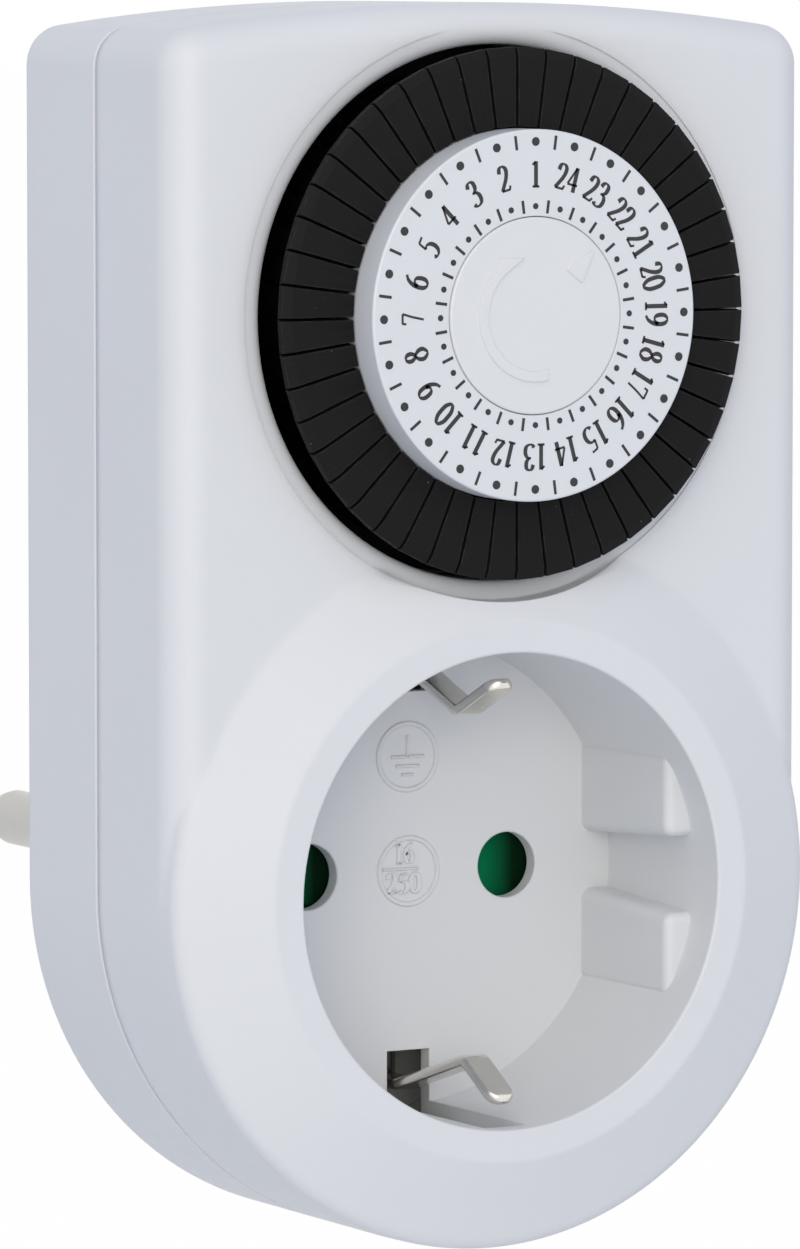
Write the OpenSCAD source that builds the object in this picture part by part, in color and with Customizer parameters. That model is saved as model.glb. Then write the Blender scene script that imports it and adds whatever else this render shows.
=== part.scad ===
// Plug-in 24-hour timer switch with a side-earthed socket and a side-earthed plug.
// Every piece is drawn lying on its back: X to the right, Y up the case, and Z out of the wall,
// measured from the face that the plug pins stand on. upright() then stands the piece up, so that
// the front looks along -Y and Z points up. The origin is midway between the two plug pins.

/* [Case] */
// Width of the case, which is also the width of its round bottom
case_w = 59.5; // [59:0.5:63]
// From the socket's centre up to the dial's centre
dial_rise = 47; // [47:0.5:52]
// From the dial's centre up to the top of the case
dial_to_top = 25.1; // [25:0.5:30]
// How much higher the arched top is in the middle than at the sides
top_crown = 2.3; // [1:0.1:3]
// Radius of the two upper corners
corner_r = 4; // [3:0.5:6]
// Depth of the rear shell, from its back to the seam
rear_depth = 13.3; // [13.3:0.1:16]
// Depth of the front shell, from the seam to the front plate
front_depth = 13.3; // [13.3:0.1:16]
// Thickness of the walls
wall = 2; // [1.6:0.1:2.2]
// Rounding of the edge round the front plate
front_edge_r = 3; // [2:0.5:4]
// Rounding of the edge round the back
back_edge_r = 1.5; // [1:0.5:2]
// Bevel on both sides of the seam
seam_bevel = 0.35; // [0.2:0.05:0.6]
// Height of the tongue that centres the shells at the seam
tongue_h = 1.5; // [1:0.1:2]

/* [Socket] */
// Diameter of the round recess that takes a plug
recess_d = 39; // [38.5:0.5:40]
// Depth of the recess
recess_depth = 17.5; // [17:0.1:17.5]
// Height of the recess's rim above the front plate
rim_rise = 2.9; // [2:0.1:4]
// Outer diameter of the flat rim
rim_d = 44; // [44:0.5:46]
// Thickness of the recess's floor
floor_t = 1.4; // [1.2:0.1:2.4]
// Distance between the two pins, the same in the plug and in the socket
pin_pitch = 19; // [18.5:0.5:19.5]
// Diameter of the holes that the pins go into
pin_hole_d = 5.5; // [5.2:0.1:5.8]
// Distance between the flat faces of the guide blocks on the left and the right
guide_gap = 32.8; // [32:0.1:33.2]
// Height of the guide blocks, above and below the middle together
guide_h = 20.4; // [18:0.2:20.8]
// How far the guide blocks stop short of the rim
guide_setback = 3.1; // [2:0.1:5]
// Width of the channel between two guide blocks, at the floor
channel_w = 4.8; // [4.6:0.1:5.4]

/* [Plug] */
// Diameter of a plug pin
pin_d = 4.8; // [4.7:0.1:4.9]
// Length of a plug pin in front of the plug's face
pin_len = 19; // [18:0.5:20]
// Diameter of the plug
plug_d = 37; // [36.5:0.1:37.4]
// Height of the plug above its collar
plug_h = 18.5; // [17.5:0.1:20]
// Diameter of the collar between plug and case
collar_d = 42; // [41:0.5:43]
// Height of the collar
collar_h = 6; // [5:0.5:8]

/* [Earth] */
// Width of the plug's earth strip
earth_w = 4; // [3.5:0.1:4.2]
// Thickness of the plug's earth strip
earth_t = 0.7; // [0.6:0.05:0.8]
// Width of the socket's earth clips
clip_w = 2.6; // [2.4:0.1:3.4]
// Thickness of the socket's earth clips
clip_t = 0.9; // [0.7:0.05:1]
// From the middle of the socket to the inmost point of an earth clip
clip_reach = 14.1; // [13.8:0.1:14.8]
// Width of the slots that the earth clips rise from
clip_slot_w = 4.05; // [3.8:0.05:4.5]
// From the middle of the socket to the inner end of those slots
clip_slot_r = 15; // [14.8:0.1:15.6]

/* [Dial] */
// Radius of the white hour dial
dial_r = 15; // [14.6:0.1:15.1]
// How far the hour dial stands out in front of the socket's rim
dial_proud = 3.2; // [2.5:0.1:4]
// Radius over the ring of switching segments
segment_ring_r = 21.4; // [21:0.1:21.5]
// Travel of a segment when it is pushed in
segment_travel = 3; // [2.5:0.1:3]
// Gap between two neighbouring segments
segment_gap = 0.22; // [0.16:0.02:0.3]
// Thickness of the lip round the outer end of a segment's head
lip_t = 1.05; // [0.8:0.05:1.4]
// Outer radius of a segment's head behind that lip
neck_r = 19.9; // [19.8:0.05:20.4]
// Radius of the opening that the dial turns in
well_r = 21.75; // [21.65:0.05:22]
// Width of the rounded edge of that opening
bezel_w = 1.55; // [1.2:0.05:1.6]
// Depth of that edge
bezel_depth = 1; // [0.6:0.1:1.2]
// Radius of the fixed cap in the middle of the dial
cap_r = 7.95; // [7:0.05:8]

/* [Movement] */
// Radius of the motor
motor_r = 13; // [12:0.1:13]
// Height of the motor
motor_h = 6.8; // [6.5:0.1:7]
// Radius of the gears' axles
axle_r = 0.75; // [0.6:0.05:0.8]
// Radius of the post that the dial turns on
arbor_r = 2; // [1.8:0.1:2.2]

/* [Switch] */
// Height of the override slide's travel along the case
override_travel = 4; // [3:0.5:4]
// Width of the switch blade and of the copper strips beside it
strip_w = 3; // [2.6:0.1:3.2]
// Thickness of the copper strips
strip_t = 0.6; // [0.5:0.05:0.7]
// Tilt of the switch lever when a segment presses it
lever_tilt = 15; // [15:0.5:16]

/* [Hidden] */
$fn = 72;
run_gap = 0.05;       // radial running clearance of shafts
free_gap = 0.3;       // clearance between parts that only pass each other
segment_count = 48;   // one segment for every half hour of the day
gear_module = 0.4;    // tooth size of all the gears
drive_teeth = 60;     // of the wheel that turns the dial
wheel_teeth = 40;     // of the two large gears
pinion_teeth = 10;    // of the small gears
half_w = case_w / 2;
case_top = dial_rise + dial_to_top;
crown_r = (half_w * half_w + top_crown * top_crown) / (2 * top_crown);
crown_y = case_top - crown_r;
corner_x = half_w - corner_r;
corner_y = crown_y + sqrt(pow(crown_r - corner_r, 2) - corner_x * corner_x);
corner_a = atan2(corner_y - crown_y, corner_x);

back_z = plug_h + collar_h;
seam_z = back_z + rear_depth;
plate_z = seam_z + front_depth;
rim_z = plate_z + rim_rise;
inner_z = back_z + wall;
floor_z = rim_z - recess_depth;
under_floor_z = floor_z - floor_t;
pin_x = pin_pitch / 2;
recess_r = recess_d / 2;

screw_r = 1.5;
screw_head_r = 2.7;
screw_boss_r = 3.1;
screw_sink = 2.6;
top_screw = [half_w - 6.25, case_top - 7.6];
low_screw = (recess_r + 5.7) * cos(45);
SCREWS = [[-top_screw[0], top_screw[1]], top_screw, [-low_screw, -low_screw], [low_screw, -low_screw]];

shutter_t = 1.8;
shutter_z = under_floor_z - free_gap - shutter_t;
shutter_r = pin_x + 3.7;
shutter_arm = 3.6;    // half the height of the shutter's two arms
shutter_hub_r = 5.8;
spring_r = 4.2;       // radius of the shutter's spring, in the groove of its hub
spring_wire_r = 0.25;
retainer_t = 0.7;
retainer_z = shutter_z - free_gap - retainer_t;
pivot_r = 1.5;

plug_floor = 2.5;
flange_r = collar_d / 2 + 1;
flange_z = inner_z - 1;
earth_groove_y = plug_d / 2 - earth_t - 0.7;
pin_waist_r = pin_d / 2 - 0.3;
rivet_r = 1.5;
contact_z = 14;
contact_w = 3;        // half the width of a socket contact and of the strip ends on it
busbar_z = 4.5;
holder_x = pin_x + 2.9;
riser_x = pin_x + 3.8;   // where the copper strips rise beside the contact holder
cavity_x = pin_x + 4.3;  // half the width of the plug's hollow
rail_x = half_w - wall - strip_w - 0.75;  // inner side of the live strip that runs up the case
earth_z = retainer_z - free_gap - clip_t;
clip_root = recess_r - 1.6;
clip_tip = recess_r - 2.5;
clip_tip_z = rim_z - 1.6;
groove_depth = 0.9;   // of the groove in the recess's wall behind an earth clip, at the floor
bezel_step = 0.12;    // of the fine step round the well's rounded edge

motor_z = inner_z + 0.1;
motor_plate_z = motor_z + motor_h;
motor_plate_t = 0.8;
gear_z = motor_plate_z + motor_plate_t;
MOTOR = [-4, dial_rise + 8.5];
DIAL = [0, dial_rise];
mesh_gap = 0.06;
pair_r = gear_module * (wheel_teeth + pinion_teeth) / 2 + mesh_gap;
drive_r = gear_module * (drive_teeth + pinion_teeth) / 2 + mesh_gap;
motor_to_gear_a = 200;
GEAR_1 = MOTOR + pair_r * [cos(motor_to_gear_a), sin(motor_to_gear_a)];
g1_d = norm(GEAR_1 - DIAL);
g1_a = atan2(GEAR_1[1] - DIAL[1], GEAR_1[0] - DIAL[0]);
g2_turn = acos((drive_r * drive_r + g1_d * g1_d - pair_r * pair_r) / (2 * drive_r * g1_d));
GEAR_2 = DIAL + drive_r * [cos(g1_a + g2_turn), sin(g1_a + g2_turn)];
wheel_1_z = gear_z + 0.4;
wheel_t = 1.2;
wheel_2_z = wheel_1_z + wheel_t + free_gap;
drive_z = wheel_2_z + wheel_t + 0.9;
drive_t = 1.6;

segment_a = 360 / segment_count;
segment_front = rim_z + 0.15;
segment_in_r = dial_r + 0.35;
leg_in_r = 16.6;
leg_out_r = neck_r - 0.3;
lip_flat_r = segment_ring_r - 0.6;   // where the flat front of a head ends
fin_top = segment_front - 8;
carrier_z = fin_top - 4;
head_z = fin_top + segment_travel + 0.2;
leg_z = carrier_z + 0.05;
dial_front = rim_z + dial_proud;
hub_r = 4;
hub_top = carrier_z + 3;
cap_z = dial_front - 1.5;

lever_x = 17.2;
lever_w = 2.4;
lever_pivot = [38, gear_z + 2.8];
lever_pin_r = 1;
// The nose lies between the two legs of the pair that stands over it
nose_y = dial_rise + (lever_x + lever_w / 2) * tan(segment_a);
nose_z = leg_z - 0.1;
nose_r = 0.9;
nose_foot = 2;
pushed_z = leg_z - segment_travel;
tip_y = 31;
tip_r = 0.75;
blade_hinge_y = 23;
riser_y = blade_hinge_y - 3.7;   // where the strip rises to the blade's root
blade_t = 0.3;
blade_z = lever_pivot[1] + 1.9;
blade_x = lever_x + lever_w / 2 - strip_w / 2;
tip_z = blade_z - tip_r - 0.15;
contact_y = 31;
contact_r = 1.2;
rivet_h = 0.4;
// Where the tilted lever's tip reaches, and the tilt that this gives the blade
tip_lift = (lever_pivot[0] - tip_y) * sin(lever_tilt) - (tip_z - lever_pivot[1]) * (1 - cos(lever_tilt));
blade_tilt = asin((tip_lift + 0.1) / (contact_y + 0.4 - blade_hinge_y));
contact_rise = (contact_y + contact_r - blade_hinge_y) * sin(blade_tilt);
fixed_z = blade_z + blade_t + 2 * rivet_h + contact_rise + 0.1;

override_y = dial_rise - 1;
override_z = plate_z - 8.4;

HOURS = [for (h = [1:24]) h];

// ---- helpers ----

module upright() rotate([90, 0, 0]) children();

// Points of an arc, from angle a to angle b in n steps
function arc(c, r, a, b, n) = [for (i = [0:n]) let (t = a + (b - a) * i / n) c + r * [cos(t), sin(t)]];

// Outline of the case, d inside its wall: round bottom, straight sides, small corners, arched top
function case_points(d) = concat(
    arc([0, 0], half_w - d, 180, 360, 48),
    arc([corner_x, corner_y], corner_r - d, 0, corner_a, 8),
    arc([0, crown_y], crown_r - d, corner_a + 0.7, 179.3 - corner_a, 12),
    arc([-corner_x, corner_y], corner_r - d, 180 - corner_a, 180, 8));

// Inner outline, whose corners stay round
function inner_points(d) = let (r = max(corner_r - d, 1)) concat(
    arc([0, 0], half_w - d, 180, 360, 48),
    arc([half_w - d - r, corner_y], r, 0, corner_a, 6),
    arc([0, crown_y], crown_r - d, corner_a + 0.7, 179.3 - corner_a, 12),
    arc([r + d - half_w, corner_y], r, 180 - corner_a, 180, 6));

// A case outline as a block from z0 to z1
module outline_block(d, z0, z1) translate([0, 0, z0]) linear_extrude(z1 - z0) polygon(inner_points(d));

// Solid through outlines that all have the same number of points: each ring is [inset, height]
module loft(rings) {
    n = len(case_points(0));
    last = len(rings) - 1;
    polyhedron(
        points = [for (r = rings, p = case_points(r[0])) [p[0], p[1], r[1]]],
        faces = concat([[for (k = [0:n - 1]) k]], [[for (k = [n - 1:-1:0]) last * n + k]],
            [for (i = [0:last - 1], k = [0:n - 1])
                let (j = (k + 1) % n) [i * n + j, i * n + k, (i + 1) * n + k, (i + 1) * n + j]]));
}

// A cylinder at a place in the plane, from z0 to z1
module post(c, r, z0, z1) translate([c[0], c[1], z0]) cylinder(r = r, h = z1 - z0);

// A block between two corners
module block(a, b) translate(a) cube(b - a);

// The left-hand offset of a path's point i by d, mitred at the bends
function unit(v) = v / norm(v);
function normal(a, b) = let (u = unit(b - a)) [-u[1], u[0]];
function side(p, i, d) = let (n = len(p) - 1,
    m = normal(p[max(i - 1, 0)], p[max(i, 1)]), k = normal(p[min(i, n - 1)], p[min(i + 1, n)]))
    p[i] + d * (m + k) / (1 + m * k);

// Outline of a strip of thickness t bent along the path p
function strip_points(p, t) = concat([for (i = [0:len(p) - 1]) side(p, i, t / 2)],
                                     [for (i = [len(p) - 1:-1:0]) side(p, i, -t / 2)]);

// A strip bent in the Y-Z plane, w wide about x
module yz_strip(p, t, w, x = 0) translate([x - w / 2, 0, 0]) rotate([90, 0, 90])
    linear_extrude(w) polygon(strip_points(p, t));

// A strip bent in the X-Z plane, from y0 to y1
module xz_strip(p, t, y0, y1) translate([0, y1, 0]) rotate([90, 0, 0])
    linear_extrude(y1 - y0) polygon(strip_points(p, t));

// ---- gears ----

// Half angle that a tooth covers at radius r, for n teeth of involute form thinned for backlash
function inv(r, rb) = r <= rb ? 0 : tan(acos(rb / r)) * 180 / PI - acos(rb / r);
function tooth_half(n, r) = let (rp = gear_module * n / 2, rb = rp * cos(20))
    90 / n * 0.86 + inv(rp, rb) - inv(r, rb);

// One turn of teeth with the first tooth at angle a0
function gear_points(n, a0) =
    let (rp = gear_module * n / 2, ro = rp + 0.7 * gear_module, ri = rp - 0.95 * gear_module)
    [for (i = [0:n - 1], s = [[-1, ri], [-1, rp], [-1, ro], [1, ro], [1, rp], [1, ri]])
        let (a = a0 + i * 360 / n + s[0] * tooth_half(n, s[1])) s[1] * [cos(a), sin(a)]];

// Angle of a tooth on a gear of nb teeth that meshes, in direction a, with one of na teeth at ta
function mesh_phase(na, ta, nb, a) =
    let (u = (a - ta) * na / 360) a + 180 + (u - floor(u) + 0.5) * 360 / nb;
function dir(p, q) = atan2(q[1] - p[1], q[0] - p[0]);

module gear(c, n, a0, z, t) translate([c[0], c[1], z]) linear_extrude(t) polygon(gear_points(n, a0));

drive_phase = 0;
pinion_2_phase = mesh_phase(drive_teeth, drive_phase, pinion_teeth, dir(DIAL, GEAR_2));
pinion_1_phase = mesh_phase(wheel_teeth, 0, pinion_teeth, dir(GEAR_2, GEAR_1));
rotor_phase = mesh_phase(wheel_teeth, 0, pinion_teeth, dir(GEAR_1, MOTOR));

// ---- case ----

module front_skin() {
    loft(concat([[seam_bevel, seam_z], [0, seam_z + seam_bevel]], [for (a = [0:15:90])
        [front_edge_r * (1 - cos(a)), plate_z - front_edge_r * (1 - sin(a))]]));
    rotate_extrude() polygon([[0, plate_z - 8], [half_w - 0.05, plate_z - 8], [half_w - 0.05, plate_z - 1.1],
        [half_w - 0.2, plate_z - 0.5], [half_w - 0.6, plate_z], [rim_d / 2 + 0.5, rim_z - 0.25],
        [rim_d / 2, rim_z - 0.08], [rim_d / 2 - 0.5, rim_z], [0, rim_z]]);
}

// The two guide blocks on one side, with the channel between them
module guides() intersection() {
    post([0, 0], recess_r + 0.2, floor_z - 0.1, rim_z - guide_setback);
    difference() {
        block([guide_gap / 2, -guide_h / 2, floor_z - 0.2], [recess_r + 1, guide_h / 2, rim_z]);
        rotate([90, 0, 90]) linear_extrude(recess_r - 0.4)
            polygon([[-channel_w / 2, floor_z - 1], [channel_w / 2, floor_z - 1],
                     [channel_w / 2 + 0.8, rim_z], [-channel_w / 2 - 0.8, rim_z]]);
        translate([guide_gap / 2, 0, rim_z - guide_setback]) rotate([0, 45, 0])
            cube([1.1, guide_h + 2, 1.1], center = true);
    }
}

// Slot in the floor for an earth clip, and the groove behind the clip, which runs out near the rim
module clip_slot() translate([-clip_slot_w / 2, 0, 0]) rotate([90, 0, 90]) linear_extrude(clip_slot_w)
    polygon([[clip_slot_r, under_floor_z - 1], [recess_r + groove_depth, under_floor_z - 1],
             [recess_r + groove_depth, floor_z + 2], [recess_r - 0.1, rim_z - 1.5], [clip_slot_r, rim_z - 1.5]]);

module front_shell() upright() color("#dcdee2") {
    difference() {
        union() {
            difference() {
                front_skin();
                outline_block(wall, seam_z - 1, plate_z - wall);
                translate([0, 0, plate_z - wall - 0.1])
                    cylinder(r1 = half_w - wall - 0.6, r2 = rim_d / 2 - 0.5, h = rim_rise);
            }
            difference() {
                outline_block(1.05, seam_z - tongue_h, seam_z + 1);
                outline_block(wall + 0.02, seam_z - tongue_h - 1, seam_z + 2);
                for (s = SCREWS) post(s, screw_boss_r + free_gap, seam_z - tongue_h - 1, seam_z);
            }
            post([0, 0], rim_d / 2 - 0.02, under_floor_z, rim_z - 0.6);
            intersection() {
                post(DIAL, well_r + 1.5, plate_z - 6, plate_z - 0.5);
                outline_block(wall / 2, seam_z, plate_z);
            }
            for (s = SCREWS) post(s, screw_boss_r, seam_z + free_gap, plate_z - 1);
        }
        post([0, 0], recess_r, floor_z, rim_z + 1);
        for (x = [-pin_x, pin_x]) post([x, 0], pin_hole_d / 2, under_floor_z - 1, floor_z + 1);
        for (m = [0, 1]) mirror([0, m, 0]) clip_slot();
        post(DIAL, well_r, seam_z, rim_z + 1);
        translate([DIAL[0], DIAL[1], plate_z - bezel_step]) rotate_extrude() polygon(concat(
            [for (a = [0:15:90]) [well_r + bezel_w * (1 - cos(a)), (bezel_step - bezel_depth) * (1 - sin(a))]],
            [[well_r + bezel_w, rim_rise + 1], [0, rim_rise + 1], [0, bezel_step - bezel_depth]]));
        for (s = SCREWS) post(s, screw_r + run_gap, seam_z - 1, seam_z + 7);
        block([half_w - wall - 1, override_y - 5, override_z - 1.3],
              [half_w + 1, override_y + 5, override_z + 1.3]);
    }
    for (m = [0, 1]) mirror([m, 0, 0]) guides();
}

module rear_skin() loft(concat([for (a = [0:22.5:90])
    [back_edge_r * (1 - sin(a)), back_z + back_edge_r * (1 - cos(a))]],
    [[0, seam_z - seam_bevel], [seam_bevel, seam_z]]));

// Rear tray with the opening for the plug's collar, the screw bosses and the stands of the movement
module rear_shell() upright() color("#d8dade") difference() {
    union() {
        difference() {
            rear_skin();
            outline_block(wall, inner_z, seam_z + 1);
            outline_block(1, seam_z - tongue_h - 0.1, seam_z + 1);
            post([0, 0], collar_d / 2 + run_gap, back_z - 1, inner_z + 1);
            post([0, 0], flange_r + run_gap, flange_z, inner_z + 1);
        }
        for (s = SCREWS) post(s, screw_boss_r, back_z + 0.5, seam_z);
        for (x = [lever_x - 1.8, lever_x + lever_w + 0.6])
            block([x, lever_pivot[0] - 2.5, inner_z - 0.5], [x + 1.2, lever_pivot[0] + 2.5, lever_pivot[1] + 1.8]);
        for (p = MOTOR_PILLARS) post(p, 2.2, inner_z - 0.5, motor_plate_z);
        block([blade_x - 0.3, riser_y + 0.5, inner_z - 0.5],
              [blade_x + strip_w + 0.3, blade_hinge_y - 0.4, blade_z - strip_t - 0.05]);
    }
    for (s = SCREWS) {
        post(s, screw_head_r + 0.15, back_z - 1, back_z + screw_sink);
        post(s, screw_r + 0.1, back_z - 1, seam_z + 1);
    }
    translate([lever_x - 3, lever_pivot[0], lever_pivot[1]]) rotate([0, 90, 0])
        cylinder(r = lever_pin_r + 0.02, h = 10);
    for (p = MOTOR_PILLARS) post(p, 0.82, motor_plate_z - 4, motor_plate_z + 1);
}

// Hollow round plug with the flats and ribs that fit a side-earthed socket. It goes into the rear
// shell from inside and is held by the flange over its collar. Both stay clear of the screw bosses.
module plug_body() upright() color("#d8dade") difference() {
    rotate_extrude() polygon([[0, 0], [plug_d / 2 - 0.8, 0], [plug_d / 2 - 0.2, 0.3], [plug_d / 2, 0.9],
        [plug_d / 2, plug_h - 0.5], [collar_d / 2 - 0.6, plug_h], [collar_d / 2, plug_h + 0.6],
        [collar_d / 2, flange_z], [flange_r, flange_z], [flange_r, inner_z], [0, inner_z]]);
    for (m = [0, 1]) mirror([m, 0, 0]) difference() {
        block([guide_gap / 2 - 0.4, -guide_h / 2 - 0.3, -1], [plug_d, guide_h / 2 + 0.3, plug_h - 0.6]);
        block([0, -channel_w / 2 + 0.1, -2], [plug_d, channel_w / 2 - 0.1, plug_h]);
    }
    for (m = [0, 1]) mirror([0, m, 0]) {
        block([-earth_w / 2 - 0.4, earth_groove_y, -1], [earth_w / 2 + 0.4, plug_d, plug_h - 0.5]);
        block([-earth_w / 2 - 0.15, earth_groove_y, plug_h - 1],
              [earth_w / 2 + 0.15, earth_groove_y + earth_t + 0.4, inner_z + 1]);
    }
    intersection() {
        post([0, 0], plug_d / 2 - 2.5, plug_floor, inner_z + 1);
        block([-cavity_x, -plug_d, plug_floor], [cavity_x, plug_d, inner_z + 1]);
    }
    for (x = [-pin_x, pin_x]) post([x, 0], pin_waist_r + 0.02, -1, plug_floor + 1);
    for (s = SCREWS) post(s, screw_boss_r + run_gap, plug_h - 1, inner_z + 1);
}

// Pan-head screw: s its place, z the level of the head's seat, up the way the shank points
module screw(s, z, r, head_r, head_h, len, up)
    translate([s[0], s[1], z]) mirror([0, 0, up ? 0 : 1]) difference() {
        rotate_extrude() polygon([[0, -head_h], [head_r - 0.5, -head_h], [head_r, -head_h + 0.6], [head_r, 0],
                                  [r, 0], [r, len - 0.5], [r - 0.5, len], [0, len]]);
        for (a = [0, 90]) rotate([0, 0, a]) translate([-head_r * 0.6, -head_r * 0.14, -head_h - 1])
            cube([head_r * 1.2, head_r * 0.28, head_h * 0.6 + 1]);
    }

module case_screws() upright() color("silver")
    for (s = SCREWS) screw(s, back_z + screw_sink, screw_r, screw_head_r, 1.9, rear_depth + 3, true);

// ---- plug and socket parts ----

// Round pin with a waist that the plug is moulded round, and a rivet end for its busbar
module plug_pin(x) upright() color("#c9c6bd") {
    translate([x, 0, 0]) rotate_extrude() polygon([[0, -pin_len], [0.9, -pin_len + 0.1],
        [1.7, -pin_len + 0.55], [2.2, -pin_len + 1.3], [pin_d / 2, -pin_len + 2.3], [pin_d / 2, 0],
        [pin_waist_r, 0], [pin_waist_r, plug_floor], [3.2, plug_floor], [3.2, busbar_z],
        [rivet_r, busbar_z], [rivet_r, busbar_z + 1.3], [0, busbar_z + 1.3]]);
}
module live_pin() plug_pin(pin_x);
module neutral_pin() plug_pin(-pin_x);

plug_earth_y = earth_groove_y + 0.1 + earth_t / 2;
module plug_earth_strip() upright() color("#c8c6c0")
    yz_strip([[plug_earth_y, 1.6], [plug_earth_y, earth_z - earth_t / 2],
              [-plug_earth_y, earth_z - earth_t / 2], [-plug_earth_y, 1.6]], earth_t, earth_w);

// One strip behind the floor, whose two ends rise through the slots, lean in, and turn out to round tips
module socket_earth_clips() upright() color("#bdb9ae") {
    inner = clip_reach + clip_t / 2;
    half = [[clip_tip, clip_tip_z], [inner + 0.35, rim_z - 5.7], [inner, rim_z - 6.6], [inner + 0.25, rim_z - 8],
            [clip_root, floor_z - 0.5], [clip_root, earth_z + clip_t / 2]];
    intersection() {
        yz_strip(concat(half, [for (i = [len(half) - 1:-1:0]) [-half[i][0], half[i][1]]]), clip_t, clip_w);
        rotate([90, 0, 0]) translate([0, 0, -recess_d]) linear_extrude(2 * recess_d) union() {
            translate([-clip_w / 2, 0]) square([clip_w, clip_tip_z - clip_w / 2]);
            translate([0, clip_tip_z - clip_w / 2]) circle(clip_w / 2 + 0.02);
        }
    }
}

// Two paddles that close the pin holes from behind, on a hub that turns
module shutter() upright() color("#0c6b3f") difference() {
    union() {
        intersection() {
            post([0, 0], shutter_r, shutter_z, shutter_z + shutter_t);
            block([-shutter_r - 1, -shutter_arm, shutter_z], [shutter_r + 1, shutter_arm, shutter_z + shutter_t]);
        }
        post([0, 0], shutter_hub_r, shutter_z, shutter_z + shutter_t);
    }
    post([0, 0], pivot_r + run_gap, shutter_z - 1, shutter_z + shutter_t + 1);
    difference() {
        post([0, 0], spring_r + 1, shutter_z - 1, shutter_z + shutter_t / 2);
        post([0, 0], spring_r - 1, shutter_z - 2, shutter_z + 2);
    }
    for (m = [0, 1]) rotate([0, 0, 180 * m]) translate([pin_x + 2.2, 3.8, shutter_z + shutter_t])
        rotate([35, 0, 0]) cube([8, 2.2, 2.2], center = true);
}

// Plate behind the shutter, with the shutter's pivot and four feet that stand on the recess's floor
module shutter_retainer() upright() color("#e8e6dc") difference() {
    half = clip_slot_r - 0.8;
    union() {
        intersection() {
            post([0, 0], recess_r - 2, retainer_z, retainer_z + retainer_t);
            block([-recess_r, -half, retainer_z - 1], [recess_r, half, retainer_z + 2]);
        }
        post([0, 0], pivot_r, retainer_z, under_floor_z - 0.05);
        for (a = [35, 145, 215, 325]) post(16.1 * [cos(a), sin(a)], 1.1, retainer_z, under_floor_z);
    }
    for (x = [-pin_x, pin_x]) post([x, 0], pin_d / 2 + 0.6, retainer_z - 1, retainer_z + 1);
    post([0, -spring_r], spring_wire_r + 0.15, retainer_z - 1, retainer_z + 1);
}

// Coil spring that turns the shutter back, with one leg held in the retainer
module shutter_spring() upright() color("silver") {
    translate([0, 0, shutter_z + 0.4]) rotate_extrude() translate([spring_r, 0]) circle(spring_wire_r, $fn = 24);
    post([0, -spring_r], spring_wire_r - 0.03, retainer_z, shutter_z + 0.4);
}

// Insulating block in the plug that carries the socket contacts
module contact_holder() upright() color("#3c3a38") difference() {
    intersection() {
        post([0, 0], plug_d / 2 - 2.8, busbar_z + 1.4, contact_z - 0.02);
        block([-holder_x, -plug_d, 0], [holder_x, plug_d, seam_z]);
    }
    post([0, 0], 3, 0, seam_z);
    for (x = [-pin_x, pin_x]) post([x, 0], rivet_r + 0.5, 0, busbar_z + 3);
}

// Fork contact: a base and two leaves that grip a pin, flared at the mouth
module socket_contact(x) upright() color("#c9a24a") translate([x, 0, 0]) {
    top = retainer_z - free_gap - 0.6;
    xz_strip([[3.1, top], [2.7, top - 1.6], [3.2, top - 6], [3.2, contact_z + strip_t * 1.5],
              [-3.2, contact_z + strip_t * 1.5], [-3.2, top - 6], [-2.7, top - 1.6], [-3.1, top]],
             0.5, -contact_w, contact_w);
}
module live_contact() socket_contact(pin_x);
module neutral_contact() socket_contact(-pin_x);

// Strip from the neutral pin straight up to its socket contact
module neutral_busbar() upright() color("#b87333") difference() {
    xz_strip([[-pin_x + 3, busbar_z + strip_t / 2], [-riser_x, busbar_z + strip_t / 2],
              [-riser_x, contact_z + strip_t / 2], [-pin_x + 3, contact_z + strip_t / 2]],
             strip_t, -contact_w, contact_w);
    post([-pin_x, 0], rivet_r + 0.02, 0, 8);
}

// Strip from the live pin to the fixed contact of the switch
module live_busbar() upright() color("#b87333") {
    low_z = inner_z + 0.6;
    far_y = contact_y + 1.6;
    difference() {
        xz_strip([[pin_x - 3, busbar_z + strip_t / 2], [riser_x, busbar_z + strip_t / 2],
                  [riser_x, low_z + strip_t / 2], [rail_x + strip_w, low_z + strip_t / 2]],
                 strip_t, -4, -4 + strip_w);
        post([pin_x, 0], rivet_r + 0.02, 0, 8);
    }
    difference() {
        block([pin_x - 3, -1.1, busbar_z], [riser_x - 0.3, contact_w, busbar_z + strip_t]);
        post([pin_x, 0], rivet_r + 0.02, 0, 8);
    }
    block([rail_x, -3.9, low_z], [rail_x + strip_w, far_y - 0.1, low_z + strip_t]);
    yz_strip([[far_y - 1.5, low_z + strip_t / 2], [far_y, low_z + strip_t / 2], [far_y, fixed_z + strip_t / 2],
              [contact_y - 1.6, fixed_z + strip_t / 2]], strip_t, strip_w, rail_x + strip_w / 2);
    block([blade_x, contact_y - 1.6, fixed_z], [rail_x + 0.5, contact_y + 1.3, fixed_z + strip_t]);
    post([blade_x + strip_w / 2, contact_y], contact_r, fixed_z - rivet_h, fixed_z + 0.1);
}

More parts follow.
